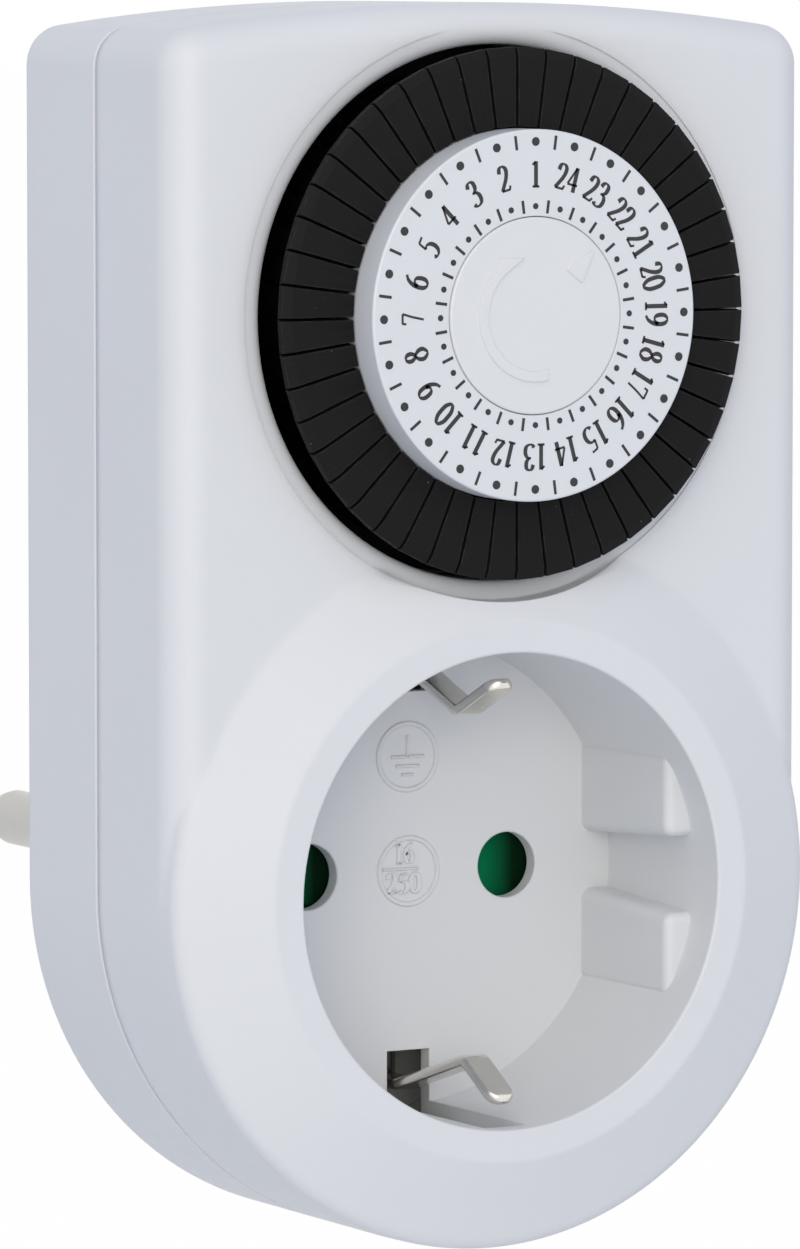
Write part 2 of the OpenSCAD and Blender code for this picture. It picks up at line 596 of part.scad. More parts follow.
// Strip from the socket's live contact to the root of the switch blade
module switched_busbar() upright() color("#b87333") {
    mid_z = inner_z + 2.6;
    block([pin_x - 3, -contact_w, contact_z], [riser_x - 0.7, 1.1, contact_z + strip_t]);
    xz_strip([[pin_x - 3, contact_z + strip_t / 2], [riser_x, contact_z + strip_t / 2],
              [riser_x, mid_z + strip_t / 2], [blade_x + strip_w, mid_z + strip_t / 2]], strip_t, 1, 1 + strip_w);
    block([blade_x, 1.1, mid_z], [blade_x + strip_w, riser_y - 0.1, mid_z + strip_t]);
    yz_strip([[riser_y - 1.3, mid_z + strip_t / 2], [riser_y, mid_z + strip_t / 2],
              [riser_y, blade_z + blade_t / 2 - 0.1], [blade_hinge_y - 0.06, blade_z + blade_t / 2 - 0.1]],
             strip_t, strip_w, blade_x + strip_w / 2);
}

// ---- switch ----

module switch_blade() upright() color("#c58b4a") {
    block([blade_x, blade_hinge_y, blade_z], [blade_x + strip_w, contact_y + 1.6, blade_z + blade_t]);
    post([blade_x + strip_w / 2, contact_y], contact_r, blade_z + 0.1, blade_z + blade_t + rivet_h);
}

// Rocker that a pushed-in segment tips at its nose, so that its tip lifts the blade
module switch_lever() upright() color("#e4e0d2") {
    py = lever_pivot[0];
    pz = lever_pivot[1];
    translate([lever_x, 0, 0]) rotate([90, 0, 90]) linear_extrude(lever_w) difference() {
        polygon(concat([[tip_y + 0.7, blade_z - 2], [py - 2.2, pz - 2], [py + 2.2, pz - 2],
            [nose_y - 1, pz - 0.8], [nose_y + nose_foot, pushed_z - 1.4], [nose_y + nose_foot, pushed_z - 0.15]],
            arc([nose_y, nose_z - nose_r], nose_r, 35, 145, 6),
            [[nose_y - nose_foot, pushed_z - 0.15], [nose_y - nose_foot - 1, pushed_z - 0.4], [py + 2, pz + 1.7],
             [py - 2, pz + 1.6], [tip_y + 1.2, tip_z]],
            arc([tip_y, tip_z], tip_r, 40, 240, 6)));
        translate([py, pz]) circle(lever_pin_r + run_gap);
    }
}

module lever_pin() upright() color("silver")
    translate([lever_x - 2, lever_pivot[0], lever_pivot[1]]) rotate([0, 90, 0])
        cylinder(r = lever_pin_r, h = lever_w + 4.1);

// Slide that reaches through the right-hand wall: always on, or timed
module override_slide() upright() color("#c33a2c") {
    in_x = half_w - wall - 0.1;
    y0 = override_y - override_travel / 2;
    block([in_x - 1.4, y0 - 7.2, override_z - 2.2], [in_x, y0 + 7.2, override_z + 2.2]);
    block([in_x - 0.2, y0 - 2.6, override_z - 1.1], [half_w + 0.3, y0 + 2.6, override_z + 1.1]);
    translate([half_w + 0.25, y0 - 2.6, override_z]) rotate([-90, 0, 0]) linear_extrude(5.2)
        polygon([[0, -1.1], [0.8, -0.8], [1.1, -0.2], [1.1, 0.2], [0.8, 0.8], [0, 1.1]]);
    block([in_x - 4.6, y0 + 4.8, override_z - 2.2], [in_x - 1.2, y0 + 6.2, override_z - 0.9]);
}

// ---- movement ----

MOTOR_PILLARS = [[14.2, dial_rise + 13.5], [-20.5, dial_rise - 9.5]];

module motor_cup() upright() color("#b9bcc0") difference() {
    post(MOTOR, motor_r, motor_z, motor_plate_z);
    post(MOTOR, motor_r - 0.6, motor_z + 0.6, motor_plate_z + 1);
    post(MOTOR, axle_r, motor_z - 1, motor_z + 1);
    translate([MOTOR[0] + motor_r - 2, MOTOR[1] - 3, motor_z + 2.5]) cube([4, 6, motor_h]);
}

// Bobbin with its winding between two flanges
module motor_coil() upright() color("#a8482f") {
    bobbin_r = motor_r - 0.8;
    winding_r = bobbin_r - 0.5;
    translate([MOTOR[0], MOTOR[1], 0]) rotate_extrude() polygon([[6.6, motor_z + 0.7], [bobbin_r, motor_z + 0.7],
        [bobbin_r, motor_z + 1.3], [winding_r, motor_z + 1.3], [winding_r, motor_plate_z - 1],
        [bobbin_r, motor_plate_z - 1], [bobbin_r, motor_plate_z - 0.3], [6.6, motor_plate_z - 0.3]]);
}

// Arm of the plate, 5 wide, from a to b
module plate_arm(a, b) translate([0, 0, motor_plate_z]) linear_extrude(motor_plate_t)
    polygon(strip_points([a, b], 5));

module motor_plate() upright() color("#b3b6ba") {
    top = motor_plate_z + motor_plate_t;
    difference() {
        union() {
            post(MOTOR, motor_r, motor_plate_z, top);
            post(DIAL, 5, motor_plate_z, top);
            post(GEAR_2, 4, motor_plate_z, top);
            for (p = MOTOR_PILLARS) post(p, 3, motor_plate_z, top);
            plate_arm(DIAL, GEAR_2);
            plate_arm(MOTOR_PILLARS[0], MOTOR);
            plate_arm(MOTOR_PILLARS[1], GEAR_2);
            plate_arm(GEAR_1, GEAR_2);
        }
        post(MOTOR, 2.2, motor_plate_z - 1, top + 1);
        post(DIAL, arbor_r, motor_plate_z - 1, top + 1);
        for (g = [GEAR_1, GEAR_2]) post(g, axle_r, motor_plate_z - 1, top + 1);
        for (p = MOTOR_PILLARS) post(p, 0.9, motor_plate_z - 1, top + 1);
    }
}

module motor_screws() upright() color("silver")
    for (p = MOTOR_PILLARS) screw(p, gear_z, 0.8, 1.7, 1.1, 4.2, false);

// Magnet rotor with its pinion, on the motor's axle
module rotor() upright() color("#4a4a4e") difference() {
    union() {
        post(MOTOR, 5.6, motor_z + 0.9, motor_plate_z - 0.5);
        post(MOTOR, 1.35, motor_plate_z - 1, gear_z + 0.3);
        gear(MOTOR, pinion_teeth, rotor_phase, gear_z + 0.2, wheel_t + 0.6);
    }
    post(MOTOR, axle_r + run_gap, motor_z, gear_z + 5);
}

module gear_axles() upright() color("silver") {
    post(MOTOR, axle_r, motor_z, gear_z + 2.4);
    post(GEAR_1, axle_r, motor_plate_z, wheel_2_z + wheel_t + 0.5);
    post(GEAR_2, axle_r, motor_plate_z, drive_z + drive_t + 0.7);
}

// Wheel and pinion moulded in one, on a steel axle
module compound_gear(c, wheel_a, pinion_a, z, pinion_top) difference() {
    union() {
        gear(c, wheel_teeth, wheel_a, z, wheel_t);
        gear(c, pinion_teeth, pinion_a, z + wheel_t - 0.1, pinion_top - z - wheel_t + 0.1);
        post(c, 1.5, z - 0.25, z + 0.1);
    }
    post(c, axle_r + run_gap, z - 1, pinion_top + 1);
    translate([c[0], c[1], z - 0.5]) for (a = [0:72:288]) rotate([0, 0, a + 10]) translate([4.6, 0, 0])
        cylinder(r = 1.5, h = wheel_t + 2);
}
module gear_1() upright() color("#e9e4d0")
    compound_gear(GEAR_1, 0, pinion_1_phase, wheel_1_z, wheel_2_z + wheel_t + 0.2);
module gear_2() upright() color("#e9e4d0")
    compound_gear(GEAR_2, 0, pinion_2_phase, wheel_2_z, drive_z + drive_t + 0.3);

module drive_wheel() upright() color("#e9e4d0") difference() {
    union() {
        gear(DIAL, drive_teeth, drive_phase, drive_z, drive_t);
        post(DIAL, hub_r, drive_z, hub_top);
    }
    post(DIAL, arbor_r + run_gap, drive_z - 1, hub_top + 1);
    for (a = [0:60:300]) translate([DIAL[0], DIAL[1], drive_z - 1]) rotate([0, 0, a]) translate([8.2, 0, 0])
        cylinder(r = 2, h = drive_t + 2);
}

// Waved spring washer that lets the dial slip on the drive wheel when it is set by hand
module clutch_spring() upright() color("silver") translate([DIAL[0], DIAL[1], 0]) {
    low = drive_z + drive_t;
    crest = carrier_z - 0.35;
    difference() {
        translate([0, 0, low]) cylinder(r = 6, h = 0.3);
        translate([0, 0, low - 1]) cylinder(r = hub_r + 0.05, h = 3);
    }
    for (a = [90:120:330]) rotate([0, 0, a]) rotate([90, 0, 90]) translate([0, 0, 4.3]) linear_extrude(1.5)
        polygon(strip_points([[-2.6, low + 0.15], [-0.5, crest], [0.5, crest], [2.6, low + 0.15]], 0.3));
}

// Fixed post with a flange at its foot, on which the drive wheel turns
module dial_arbor() upright() color("#c4c4c0") translate([DIAL[0], DIAL[1], 0]) {
    rotate_extrude() polygon([[0, motor_plate_z], [arbor_r, motor_plate_z], [arbor_r, gear_z], [3.2, gear_z],
        [3.2, drive_z - 0.1], [arbor_r, drive_z - 0.1], [arbor_r, cap_z - 0.4], [0, cap_z - 0.4]]);
}

// ---- dial ----

// Black ring with one slot and two fins for every segment
module segment_carrier() upright() color("#242426") translate([DIAL[0], DIAL[1], 0]) {
    difference() {
        rotate_extrude() polygon([[hub_r + run_gap, carrier_z], [segment_ring_r, carrier_z],
            [segment_ring_r, carrier_z + 2.6], [leg_out_r + 0.15, carrier_z + 2.6], [leg_out_r + 0.15, fin_top],
            [leg_in_r - 0.15, fin_top], [leg_in_r - 0.15, carrier_z + 2], [hub_r + run_gap, carrier_z + 2]]);
        translate([0, 0, carrier_z - 1]) linear_extrude(10)
            for (i = [0:segment_count - 1]) rotate((i + 0.5) * segment_a) polygon(leg_points(0.07));
    }
}

// A leg's plan: a wedge g larger all round than the leg itself
function leg_points(g) = let (t = tan(segment_a / 2), a = leg_in_r * t - 0.36 + g, b = leg_out_r * t - 0.36 + g)
    [[leg_in_r - g, -a], [leg_out_r + g, -b], [leg_out_r + g, b], [leg_in_r - g, a]];

// One half-hour segment: a wedge head with a thin lip round its outer end, on a narrower leg
module segment(a) rotate([0, 0, a]) {
    t = tan(segment_a / 2);
    out_r = segment_ring_r;
    front = segment_front;
    intersection() {
        rotate_extrude() polygon([[segment_in_r, head_z], [neck_r, head_z], [neck_r, front - lip_t],
            [out_r, front - lip_t], [out_r, front - 0.35], [out_r - 0.1, front - 0.22],
            [lip_flat_r, front], [segment_in_r, front]]);
        // Wedge whose two outer corners are cut off, each row being [radius, cut]
        rows = [[segment_in_r - 1, 0], [out_r - 0.7, 0], [out_r - 0.2, 0.15], [out_r + 1, 1.1]];
        translate([0, 0, head_z - 1]) linear_extrude(12) polygon([for (s = [-1, 1], k = [0:3])
            let (row = rows[s < 0 ? k : 3 - k]) [row[0], s * (row[0] * t - segment_gap / 2 - row[1])]]);
    }
    translate([0, 0, leg_z]) linear_extrude(head_z - leg_z + 0.5) polygon(leg_points(0));
}

// The two segments of one hour; hour 1 starts at the top and the hours run anticlockwise
module segments_hour(h) upright() color("#2b2b2d") translate([DIAL[0], DIAL[1], 0])
    for (k = [0, 1]) segment(90 + (2 * (h - 1) + k) * segment_a + segment_a / 2);

// White disc and its rim; a step behind the cap keeps the dial from coming off
module hour_dial() upright() color("#e3e6ec") translate([DIAL[0], DIAL[1], 0])
    rotate_extrude() polygon([[cap_r - 1.2, cap_z - 1.1], [cap_r - 1.2, cap_z - 0.1], [cap_r + 0.12, cap_z - 0.1],
        [cap_r + 0.12, dial_front], [dial_r - 0.2, dial_front], [dial_r, dial_front - 0.2], [dial_r, carrier_z + 2],
        [dial_r - 1.2, carrier_z + 2], [dial_r - 1.2, dial_front - 1.2], [cap_r + 1.3, dial_front - 1.2],
        [cap_r + 1.3, cap_z - 1.1]]);

// Cap pressed on the arbor; it does not turn
module centre_cap() upright() color("#dfe1e5") translate([DIAL[0], DIAL[1], 0])
    rotate_extrude() polygon([[arbor_r + 0.02, hub_top + 0.1], [3.4, hub_top + 0.1], [3.4, cap_z],
        [cap_r - 0.4, cap_z], [cap_r, cap_z + 0.3], [cap_r, dial_front - 0.05],
        [cap_r - 0.25, dial_front + 0.15], [0, dial_front + 0.15],
        [0, cap_z - 0.2], [arbor_r + 0.02, cap_z - 0.2]]);

// ---- leads ----

// Tube of radius r swept along a path of points, eight-sided, with closed ends
module tube(p, r) {
    n = len(p);
    m = 8;
    ring = [for (i = [0:n - 1]) let (t = unit(p[min(i + 1, n - 1)] - p[max(i - 1, 0)]),
        u = unit(cross(t, [0.3, 0.1, 1])), v = cross(t, u))
        [for (k = [0:m - 1]) p[i] + r * (cos(360 * k / m) * u + sin(360 * k / m) * v)]];
    polyhedron(points = [for (q = ring, c = q) c], faces = concat([[for (k = [0:m - 1]) k]],
        [[for (k = [m - 1:-1:0]) (n - 1) * m + k]],
        [for (i = [0:n - 2], k = [0:m - 1])
            [i * m + (k + 1) % m, i * m + k, (i + 1) * m + k, (i + 1) * m + (k + 1) % m]]));
}

lead_z = motor_z + 3.6;
module motor_leads() upright() color("#5a6ea8") {
    tube([[MOTOR[0] + 12.3, MOTOR[1] + 1, lead_z], [11, MOTOR[1] + 0.6, lead_z], [14, 52, lead_z],
          [14.6, 46, lead_z], [13.6, 40, lead_z - 0.6], [13.8, 34, lead_z - 1], [18, 29, lead_z - 1],
          [rail_x - 2, 27.4, lead_z - 1.6], [rail_x + 0.3, 27, inner_z + 1.7]], 0.4);
    tube([[MOTOR[0] + 12.3, MOTOR[1] - 1.5, lead_z], [10.6, MOTOR[1] - 2, lead_z], [12.4, 50, lead_z],
          [12, 44, lead_z], [8, 38, lead_z - 1], [0, 33, lead_z - 1.6], [-7, 28, lead_z - 1.8],
          [-11.4, 21, lead_z - 2], [-12.4, 14, inner_z + 1.6], [-12.4, 9, inner_z + 1.2],
          [-12.3, 6.4, inner_z - 0.6], [-12.2, 5.2, inner_z - 4], [-12.1, 4.8, contact_z + 4],
          [-12, 4.3, contact_z + 1.4], [-12, 3.6, contact_z + 0.5]], 0.4);
}

front_shell();
rear_shell();
plug_body();
case_screws();
live_pin();
neutral_pin();
plug_earth_strip();
socket_earth_clips();
shutter();
shutter_retainer();
shutter_spring();
contact_holder();
live_contact();
neutral_contact();
live_busbar();
switched_busbar();
neutral_busbar();
switch_blade();
switch_lever();
lever_pin();
override_slide();
motor_cup();
motor_coil();
motor_plate();
motor_screws();
motor_leads();
rotor();
gear_axles();
gear_1();
gear_2();
drive_wheel();
clutch_spring();
dial_arbor();
segment_carrier();
hour_dial();
centre_cap();
for (h = HOURS) segments_hour(h);
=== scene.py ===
"""Plug-in day timer with a socket on its front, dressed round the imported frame. Sizes are in
millimetres unless a name ends in _M. Pieces are laid out on their back first: x to the right, y up the
case and z out of the wall, measured from the face of the plug; standing() then stands them up."""
import math

import bmesh
import bpy
import numpy as np
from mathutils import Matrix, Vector


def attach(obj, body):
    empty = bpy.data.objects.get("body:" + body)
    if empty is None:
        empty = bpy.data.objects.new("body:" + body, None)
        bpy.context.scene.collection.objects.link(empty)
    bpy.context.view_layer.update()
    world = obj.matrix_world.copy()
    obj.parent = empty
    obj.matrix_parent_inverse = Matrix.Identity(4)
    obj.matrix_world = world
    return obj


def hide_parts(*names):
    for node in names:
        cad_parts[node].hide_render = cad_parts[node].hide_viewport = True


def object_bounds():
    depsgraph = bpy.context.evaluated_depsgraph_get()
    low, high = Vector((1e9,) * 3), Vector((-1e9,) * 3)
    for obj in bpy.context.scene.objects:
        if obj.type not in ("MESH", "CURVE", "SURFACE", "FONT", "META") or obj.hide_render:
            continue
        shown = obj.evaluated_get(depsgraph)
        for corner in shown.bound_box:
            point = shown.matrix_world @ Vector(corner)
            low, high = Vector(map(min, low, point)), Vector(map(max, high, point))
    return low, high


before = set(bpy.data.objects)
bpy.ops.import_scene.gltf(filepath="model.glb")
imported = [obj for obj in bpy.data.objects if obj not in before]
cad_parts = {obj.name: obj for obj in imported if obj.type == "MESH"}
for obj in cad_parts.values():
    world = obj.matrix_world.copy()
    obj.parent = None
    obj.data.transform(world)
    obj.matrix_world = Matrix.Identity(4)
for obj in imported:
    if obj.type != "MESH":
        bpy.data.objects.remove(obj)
cad_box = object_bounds()

# ---- Camera and studio ----
# The timer hangs in the air above a pale floor, as it would on a wall, under large soft lamps. The
# camera stands to the left of it and a little above, with a long lens.
CAMERA_AZIMUTH = math.radians(-29.60)
CAMERA_ELEVATION = math.radians(4.79)
CAMERA_PLACE_M = (-0.32727, -0.61123, 0.07599)
LENS_MM = 230.58
SENSOR_MM = 36.0
FLOOR_DROP_M = 0.14
FLOOR_SIDE_M = 30.0
FLOOR_PAINT = (0.86, 0.87, 0.88)
FLOOR_GLOW = 0.985  # how much of its plain white shows where the floor is seen
AMBIENT = 0.68
AMBIENT_TINT = (0.765, 0.825, 1.0)
LAMP_TINT = (0.98, 0.925, 0.785)
LAMPS = [  # name, place, what it faces, size, power
    ("lamp_camera", (-0.69, -1.30, 0.34), (0, -0.04, 0.03), 0.8, 7.7),
    ("lamp_above", (-0.48, -0.84, 1.18), (0, -0.04, 0.03), 0.8, 3.8),
]


def make_camera():
    """Camera that looks along the azimuth and the elevation, level with the horizon."""
    data = bpy.data.cameras.new("camera")
    data.sensor_fit = "VERTICAL"
    data.sensor_height = SENSOR_MM
    data.lens = LENS_MM
    data.clip_start = 0.05
    camera = bpy.data.objects.new("camera", data)
    flat = math.cos(CAMERA_ELEVATION)
    back = Vector((math.sin(CAMERA_AZIMUTH) * flat, -math.cos(CAMERA_AZIMUTH) * flat,
                   math.sin(CAMERA_ELEVATION)))
    camera.location = CAMERA_PLACE_M
    camera.rotation_euler = (-back).to_track_quat("-Z", "Y").to_euler()
    bpy.context.scene.collection.objects.link(camera)
    bpy.context.scene.camera = camera


def make_lamp(name, place, target, size, power):
    """Square soft lamp aimed at the timer."""
    data = bpy.data.lights.new(name, "AREA")
    data.size = size
    data.energy = power
    data.color = LAMP_TINT
    lamp = bpy.data.objects.new(name, data)
    lamp.location = place
    lamp.rotation_euler = (Vector(target) - Vector(place)).to_track_quat("-Z", "Y").to_euler()
    bpy.context.scene.collection.objects.link(lamp)


def feed(tree, node, inputs):
    """Inputs of a node, by name or number: each is linked from a socket, or set to a value. A colour is
    given by its red, green and blue."""
    for name, value in inputs.items():
        socket = node.inputs[name]
        if isinstance(value, bpy.types.NodeSocket):
            tree.links.new(value, socket)
        else:
            socket.default_value = (*value, 1) if socket.type == "RGBA" else value


def new_node(tree, kind, inputs, **settings):
    """Outputs of a new shader node, which has these settings and is fed by these inputs."""
    node = tree.nodes.new("ShaderNode" + kind)
    for name, value in settings.items():
        setattr(node, name, value)
    feed(tree, node, inputs)
    return node.outputs


def new_material(name):
    """New material, with its node tree and its shader."""
    material = bpy.data.materials.new(name)
    material.use_nodes = True
    return material, material.node_tree, material.node_tree.nodes["Principled BSDF"]


def calculated(tree, operation, *values):
    """What a Math node makes of sockets and numbers."""
    return new_node(tree, "Math", dict(enumerate(values)), operation=operation)[0]


def seen_directly(tree):
    """1 for rays that show the background: from the camera, from gloss and through glass."""
    ray = new_node(tree, "LightPath", {})
    either = calculated(tree, "MAXIMUM", ray["Is Camera Ray"], ray["Is Glossy Ray"])
    return calculated(tree, "MAXIMUM", either, ray["Is Transmission Ray"])


def make_world():
    """Even pale light on the timer, and a white background where it is seen."""
    world = bpy.data.worlds.new("studio")
    world.use_nodes = True
    tree = world.node_tree
    ambient = tree.nodes["Background"]
    feed(tree, ambient, {"Color": AMBIENT_TINT, "Strength": AMBIENT})
    white = new_node(tree, "Background", {"Color": (1, 1, 1)})
    mix = new_node(tree, "MixShader", {"Fac": seen_directly(tree), 1: ambient.outputs[0], 2: white[0]})
    feed(tree, tree.nodes["World Output"], {"Surface": mix[0]})
    bpy.context.scene.world = world


def make_floor():
    """Wide pale floor, mostly white where it is seen, so that it keeps a faint shadow."""
    half = FLOOR_SIDE_M / 2
    level = cad_box[0][2] - FLOOR_DROP_M
    corners = [(-half, -half, level), (half, -half, level), (half, half, level), (-half, half, level)]
    mesh = bpy.data.meshes.new("floor")
    mesh.from_pydata(corners, [], [(0, 1, 2, 3)])
    floor = bpy.data.objects.new("floor", mesh)
    bpy.context.scene.collection.objects.link(floor)
    material, tree, paint = new_material("floor_paint")
    feed(tree, paint, {"Base Color": FLOOR_PAINT, "Roughness": 0.9})
    share = calculated(tree, "MULTIPLY", seen_directly(tree), FLOOR_GLOW)
    glow = new_node(tree, "Emission", {})
    mix = new_node(tree, "MixShader", {"Fac": share, 1: paint.outputs[0], 2: glow[0]})
    feed(tree, tree.nodes["Material Output"], {"Surface": mix[0]})
    mesh.materials.append(material)


make_camera()
for lamp in LAMPS:
    make_lamp(*lamp)
make_world()
make_floor()
bpy.context.scene.view_settings.view_transform = "Standard"

# ---- Front half of the case ----
# White ABS moulding: a rounded tray whose front carries the raised rim of the socket, the recess with its
# guide blocks, and the round well that the dial turns in. The mould's spark texture shows as a fine grain.
CASE_W = 59.5
DIAL_RISE = 47.0
DIAL_TO_TOP = 25.1
TOP_CROWN = 2.3
CORNER_R = 3.3
WALL = 2.0
FRONT_EDGE_R = 3.0
SEAM_BEVEL = 0.12
SEAM_GROOVE = (0.35, 0.26)  # depth and width of the groove that runs round at the seam
SEAM_Z = 37.8
PLATE_Z = 51.1
RIM_Z = 54.0
RIM_R = 22.0
RIM_EDGE_R = 1.2
RIM_LIP_R = 0.25
CONE_EDGE_R = 1.1
CONE_EDGE_DROP = 0.95  # from the plate down to the middle of that rounding
CONE_FACING = 66  # degrees by which the cone's face is turned from sideways towards the front
RECESS_R = 19.5
FLOOR_Z = 36.5
UNDER_FLOOR_Z = 35.1
PIN_X = 9.5
PIN_HOLE_R = 2.75
PIN_HOLE_BEVEL = 0.15
GUIDE_X = 16.8
GUIDE_HALF = 10.2
GUIDE_END_Z = 50.2
GUIDE_EDGE = 0.8
GUIDE_CORNER_R = (1.0, 0.85, 0.85, 0.85)
CHANNEL_HALF = (2.4, 3.2)  # at the floor and at the rim
CLIP_SLOT_HALF = 2.025
CLIP_SLOT_R = 15.0
CLIP_GROOVE = 2.9  # depth at the floor of the groove in the wall behind a clip
WELL_R = 21.75
WELL_WALL = 1.5
BEZEL_R = 23.3
BEZEL_DEPTH = 1.0
BEZEL_POWER = 3
BEZEL_STEP = 0.12
BEZEL_LINE = 0.06
OVERRIDE_Y = 46.0
OVERRIDE_Z = 42.7
OVERRIDE_HALF = (5, 1.3)  # half length and half height of the slide's opening
PAST = 1  # how far a cutting shape runs past what it cuts
SMOOTH_TO = 35.0  # degrees between two faces, up to which they shade as one surface
HALF_W = CASE_W / 2
CASE_TOP = DIAL_RISE + DIAL_TO_TOP
DIAL = (0.0, DIAL_RISE)
PLASTIC_CLOUDS = 60.0  # blobs a metre in a moulding's colour, in its shine and in its waviness
PLASTIC_SHINE = 700.0
PLASTIC_WAVES = 350.0
SHELL_WHITE = (0.71, 0.72, 0.735)
SHELL_ROUGH = 0.42
SHELL_GLOSS = 0.28
SOFT_EDGE_R = (0.15, 1.3)  # rounding in the shading: everywhere, and at the cone's foot
SOFT_EDGE_AWAY = (26.0, 28.0)  # distances from the socket's axis between which it grows


def standing(points):
    """Points laid flat in millimetres, as points of the standing timer in metres: (x, -z, y) / 1000."""
    p = np.asarray(points, float)
    return np.stack([p[..., 0], -p[..., 2], p[..., 1]], -1) / 1000


def smoothed(made, sharp=SMOOTH_TO):
    """Smooth shading up to the angle, with flat faces kept flat by weighting normals with their area."""
    made.data.shade_smooth()
    made.data.set_sharp_from_angle(angle=math.radians(sharp))
    weighted = made.modifiers.new("flat faces", "WEIGHTED_NORMAL")
    weighted.keep_sharp = True
    return made


def piece(name, points, faces, sharp=SMOOTH_TO):
    """Closed mesh from flat points and faces: doubles merged and faces turned outwards."""
    mesh = bpy.data.meshes.new(name)
    mesh.from_pydata(standing(points).reshape(-1, 3).tolist(), [], faces)
    work = bmesh.new()
    work.from_mesh(mesh)
    bmesh.ops.remove_doubles(work, verts=work.verts, dist=1e-7)
    bmesh.ops.dissolve_degenerate(work, edges=work.edges, dist=1e-8)
    bmesh.ops.recalc_face_normals(work, faces=work.faces)
    work.to_mesh(mesh)
    work.free()
    made = bpy.data.objects.new(name, mesh)
    bpy.context.scene.collection.objects.link(made)
    return smoothed(made, sharp)


def dressed(made, body, material, slot, *nodes):
    """The piece gets its material and its finish, rides on its body, and stands for the nodes named."""
    made.data.materials.clear()
    made.data.materials.append(material)
    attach(made, body)
    if nodes:
        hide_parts(*nodes)
    return made


def loft_faces(rings, around, close_ends=True):
    """Quads between neighbouring rings of a grid of rings x around points, and a cap at both ends."""
    i = np.arange(rings - 1)[:, None] * around
    k = np.arange(around)[None, :]
    j = (k + 1) % around
    quads = np.stack([i + k, i + j, i + around + j, i + around + k], -1).reshape(-1, 4).tolist()
    if close_ends:
        quads += [list(range(around))[::-1], list(range((rings - 1) * around, rings * around))]
    return quads


def stacked(levels):
    """Solid through outlines that have equally many points, each given with its height."""
    rings = np.array([np.column_stack([outline, np.full(len(outline), z)]) for outline, z in levels])
    return rings, loft_faces(len(rings), len(rings[0]))


def turned(profile, centre=(0, 0), around=144):
    """Profile of (radius, level) points turned about the axis through centre, with a disc at each end."""
    p = np.asarray(profile, float)
    a = np.linspace(0, 2 * np.pi, around, endpoint=False)
    ring = np.stack([np.cos(a), np.sin(a)], -1)
    xy = p[:, None, :1] * ring[None] + np.asarray(centre, float)
    z = np.broadcast_to(p[:, None, 1:], xy.shape[:2] + (1,))
    return np.concatenate([xy, z], -1), loft_faces(len(p), around)


def bend(centre, radius, start, end, steps=8):
    """Points on an arc, from the start angle to the end angle in degrees."""
    a = np.radians(np.linspace(start, end, steps + 1))
    return [(centre[0] + radius * math.cos(t), centre[1] + radius * math.sin(t)) for t in a]


def rounded(corners, radii, steps=5):
    """Closed outline whose corners become arcs tangent to both sides: each arc starts radius / tan(half
    angle) from its corner, round a centre on the bisector at radius / sin(half angle)."""
    p = np.asarray(corners, float)
    r = np.broadcast_to(np.asarray(radii, float), len(p))[:, None]
    back = np.roll(p, 1, 0) - p
    ahead = np.roll(p, -1, 0) - p
    back /= np.linalg.norm(back, axis=1)[:, None]
    ahead /= np.linalg.norm(ahead, axis=1)[:, None]
    half = np.arccos(np.clip((back * ahead).sum(1), -1, 1))[:, None] / 2
    middle = (back + ahead) / np.linalg.norm(back + ahead, axis=1)[:, None]
    centre = p + middle * r / np.sin(half)
    start = p + back * r / np.tan(half) - centre
    end = p + ahead * r / np.tan(half) - centre
    first = np.arctan2(start[:, 1], start[:, 0])[:, None]
    turn = (np.arctan2(end[:, 1], end[:, 0])[:, None] - first + np.pi) % (2 * np.pi) - np.pi
    a = first + turn * np.linspace(0, 1, steps + 1)
    return (centre[:, None] + r[:, None] * np.stack([np.cos(a), np.sin(a)], -1)).reshape(-1, 2)


def inset(outline, depth):
    """Anticlockwise outline moved inwards: each point goes along the mitre of its two sides."""
    side = np.roll(outline, -1, 0) - outline
    side /= np.linalg.norm(side, axis=1)[:, None]
    inward = np.stack([-side[:, 1], side[:, 0]], -1)
    before = np.roll(inward, 1, 0)
    return outline + depth * (before + inward) / (1 + (before * inward).sum(1))[:, None]


def case_outline(depth, small=10, large=72, arch=40):
    """Outline of the case, inset from its wall: half circle, right corner, arched top, left corner."""
    crown_r = (HALF_W ** 2 + TOP_CROWN ** 2) / (2 * TOP_CROWN)
    crown_y = CASE_TOP - crown_r
    corner_x = HALF_W - CORNER_R
    corner_y = crown_y + math.sqrt((crown_r - CORNER_R) ** 2 - corner_x ** 2)
    lean = math.degrees(math.atan2(corner_y - crown_y, corner_x))
    r = max(CORNER_R - depth, 0.3)
    x = HALF_W - depth - r
    return np.array(
        bend((0, 0), HALF_W - depth, 180, 360, large)
        + bend((x, corner_y), r, 0, lean, small)
        + bend((0, crown_y), crown_r - depth, lean + 0.4, 179.6 - lean, arch)
        + bend((-x, corner_y), r, 180 - lean, 180, small)
    )


def case_loft(levels):
    """Solid through case outlines: each level is (inset, height)."""
    return stacked([(case_outline(depth), z) for depth, z in levels])


def oblong(low, high, radius=0.05):
    """Upright block between two corners, with its four upright edges rounded."""
    corners = [(low[0], low[1]), (high[0], low[1]), (high[0], high[1]), (low[0], high[1])]
    outline = rounded(corners, radius, 3)
    return stacked([(outline, low[2]), (outline, high[2])])


def flattened(base):
    """Coplanar neighbours are joined into one face, so that flat ground shades as one flat face."""
    work = bmesh.new()
    work.from_mesh(base.data)
    bmesh.ops.remove_doubles(work, verts=work.verts, dist=1e-7)
    bmesh.ops.dissolve_limit(work, angle_limit=math.radians(0.05), verts=work.verts, edges=work.edges)
    work.to_mesh(base.data)
    work.free()


